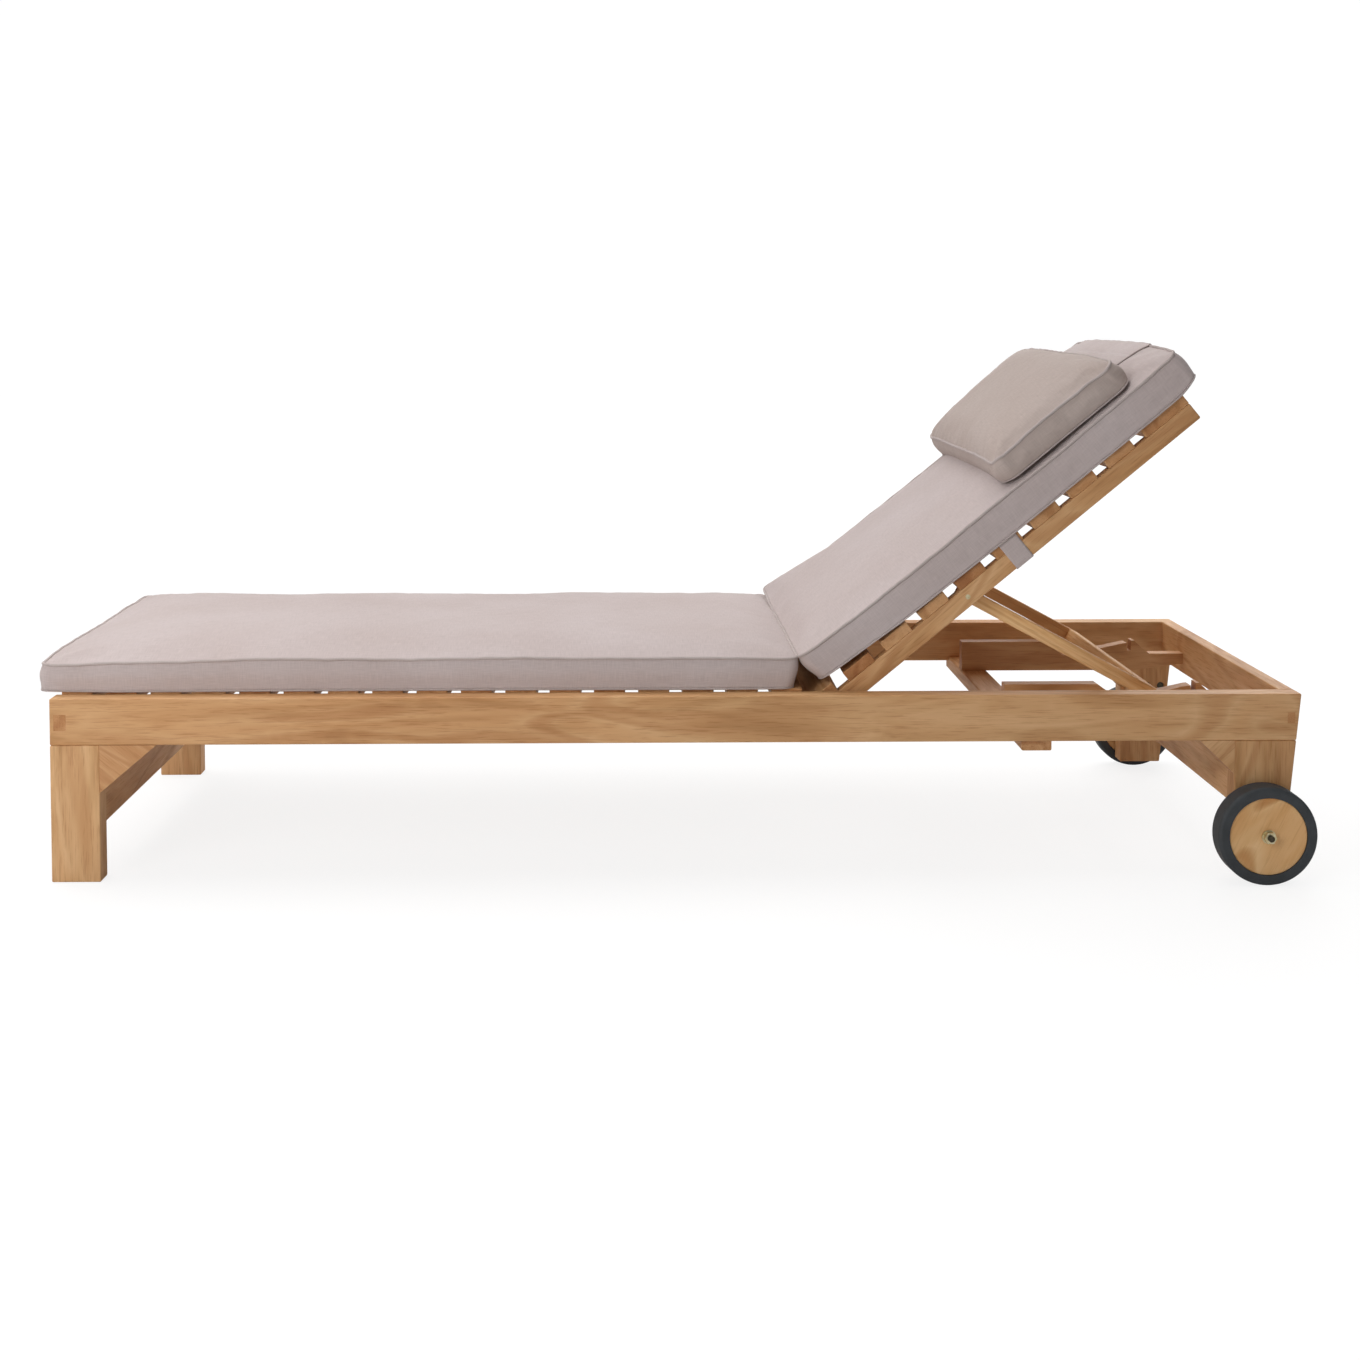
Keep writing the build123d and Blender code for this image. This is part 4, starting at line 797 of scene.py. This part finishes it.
plug_rows("seat_slat_plugs", (SEAT_FIRST + SEAT_SLAT_HALF - MIDDLE, -SEAT_PLUG_SIDE, SEAT_FACE - PLUG_SUNK),
          (SEAT_PITCH, 0.0, 0.0), SEAT_SLATS, (0.0, 2 * SEAT_PLUG_SIDE, 0.0), (0.0, 0.0, 0.0), "frame",
          teak_leg)
back_first, back_second = on_backrest([(BACK_FIRST + BACK_SLAT_HALF + step, -BACK_PLUG_SIDE,
                                        BACK_FACE - PLUG_SUNK) for step in (0.0, BACK_PITCH)])
plug_rows("back_slat_plugs", tuple(back_first), tuple(back_second - back_first), BACK_SLATS,
          (0.0, 2 * BACK_PLUG_SIDE, 0.0), (0.0, -BACK_ANGLE, 0.0), "backrest", teak_back_rail)


# Studio
WHITE = (1.0, 1.0, 1.0, 1.0)
ROOM_REACH = 18.0                  # from the middle to the edges of the floor and to the surround
ROOM_LOW, ROOM_HIGH = -0.3, 14.0   # the surround's foot and its roof
ROOM_SIDES = 48
GLOW_NEAR, GLOW_FAR = 2.0, 5.0     # where the floor's glow starts to grow, and where it is full
FLOOR_WHITE, FLOOR_GLOW, FAR_GLOW = 0.17, 0.84, 0.94    # the floor that the camera sees
BOUNCE_WHITE, BOUNCE_GLOW = 0.58, 0.12  # the floor that only throws light back
BOUNCE_DROP = 0.001                # how far it lies below the other one
SKY_COLOUR, SKY_STRENGTH = (0.97, 0.98, 1.0, 1.0), 0.23
LAMP_COLOUR = (1.0, 0.99, 0.98)
# name, kind, settings, place and what it is aimed at
LAMPS = (("overhead", "SUN", {"energy": 1.73, "angle": math.radians(60)}, (-0.8, 0.9, 3.0),
          (0.0, 0.0, 0.0)),
         ("soft_box", "AREA", {"energy": 25.5, "size": 1.4}, (-1.5, -2.2, 1.3), (-0.25, 0.0, 0.35)),
         ("back_box", "AREA", {"energy": 38.0, "size": 2.0}, (1.8, 2.4, 1.9), (0.5, 0.0, 0.3)),
         ("foot_box", "AREA", {"energy": 9.0, "size": 1.2}, (-1.5, 0.2, 1.9), (-0.7, 0.0, 0.3)))


def lit_floor(name, white, glow, far_glow, height):
    """A pale floor with a glow of its own, which grows to the far glow with the distance."""
    finish, tree = new_finish(name + "_white")
    spot = add(tree, "ShaderNodeTexCoord").outputs["Object"]
    away = add(tree, "ShaderNodeVectorMath", {"operation": "LENGTH"}, i0=spot).outputs["Value"]
    lit = add(tree, "ShaderNodeMapRange", Value=away, From_Min=GLOW_NEAR, From_Max=GLOW_FAR, To_Min=glow,
              To_Max=far_glow)
    shader = add(tree, "ShaderNodeBsdfPrincipled", Base_Color=(white, white, white, 1.0), Roughness=0.9,
                 Specular_IOR_Level=0.1, Emission_Color=WHITE, Emission_Strength=lit)
    add(tree, "ShaderNodeOutputMaterial", Surface=shader)
    corners = [(x * ROOM_REACH, y * ROOM_REACH, height) for x, y in ((-1, -1), (1, -1), (1, 1), (-1, 1))]
    return new_piece(name, corners, [(0, 1, 2, 3)], finish)


def surround():
    """A glowing white wall all round, with a flat roof."""
    finish, tree = new_finish("white_surround")
    shader = add(tree, "ShaderNodeBsdfPrincipled", Base_Color=(0.0, 0.0, 0.0, 1.0), Emission_Color=WHITE,
                 Emission_Strength=1.0)
    add(tree, "ShaderNodeOutputMaterial", Surface=shader)
    turns = [2 * math.pi * k / ROOM_SIDES for k in range(ROOM_SIDES)]
    ring = [(ROOM_REACH * math.cos(turn), ROOM_REACH * math.sin(turn)) for turn in turns]
    points = [(x, y, z) for z in (ROOM_LOW, ROOM_HIGH) for x, y in ring] + [(0.0, 0.0, ROOM_HIGH)]
    faces = []
    for k in range(ROOM_SIDES):
        beside = (k + 1) % ROOM_SIDES
        faces.append((k, beside, beside + ROOM_SIDES, k + ROOM_SIDES))
        faces.append((k + ROOM_SIDES, beside + ROOM_SIDES, 2 * ROOM_SIDES))
    return new_piece("surround", points, faces, finish)


def studio():
    """A white room that only the camera sees, a dimmer floor that only throws light back, a wide
    soft sun overhead, a dim even sky, and three soft boxes: on the camera's side of the foot end,
    behind the head end as the camera sees it, and above the foot end."""
    scene = bpy.context.scene
    scene.view_settings.view_transform = "Standard"
    # far off, the floor that the camera sees is as white as the surround, so no edge shows there
    floor = lit_floor("floor", FLOOR_WHITE, FLOOR_GLOW, FAR_GLOW, 0.0)
    bounce = lit_floor("floor_bounce", BOUNCE_WHITE, BOUNCE_GLOW, BOUNCE_GLOW, -BOUNCE_DROP)
    wall = surround()
    for piece in (floor, wall):
        piece.visible_diffuse = False
        piece.visible_glossy = False
        piece.visible_shadow = False
    wall.visible_transmission = False
    bounce.visible_camera = False
    world = bpy.data.worlds.new("dim_sky")
    world.use_nodes = True
    sky = world.node_tree.nodes["Background"]
    sky.inputs["Color"].default_value = SKY_COLOUR
    sky.inputs["Strength"].default_value = SKY_STRENGTH
    scene.world = world
    for name, kind, settings, spot, aim in LAMPS:
        data = bpy.data.lights.new(name, kind)
        data.color = LAMP_COLOUR
        for key, value in settings.items():
            setattr(data, key, value)
        lamp = bpy.data.objects.new(name, data)
        lamp.location = spot
        lamp.rotation_euler = (Vector(aim) - Vector(spot)).to_track_quat("-Z", "Y").to_euler()
        scene.collection.objects.link(lamp)


# The photograph's camera
EYE = (-0.0656, -3.16596, 0.90638)
LOOK_DOWN, ROLL = 0.0365, -0.0043  # in radians
SENSOR, LENS = 36.0, 47.05         # in millimetres
SHIFT_ALONG, SHIFT_UP = 0.0363, -0.2215     # of the picture, as shares of the sensor's width
CLIP_NEAR, CLIP_FAR = 0.05, 100.0


def camera():
    """The photograph's view: a 47 mm lens seen from the right, two degrees down, with its picture
    shifted down and a little to the side on the sensor."""
    lens = bpy.data.cameras.new("photo_view")
    lens.sensor_width = SENSOR
    lens.lens = LENS
    lens.shift_x, lens.shift_y = SHIFT_ALONG, SHIFT_UP
    lens.clip_start, lens.clip_end = CLIP_NEAR, CLIP_FAR
    eye = bpy.data.objects.new("photo_view", lens)
    pitch = Matrix.Rotation(math.pi / 2 - LOOK_DOWN, 4, "X")
    roll = Matrix.Rotation(ROLL, 4, "Z")
    eye.matrix_world = Matrix.Translation(EYE) @ pitch @ roll
    bpy.context.scene.collection.objects.link(eye)
    bpy.context.scene.camera = eye


studio()
camera()
bpy.context.view_layer.update()
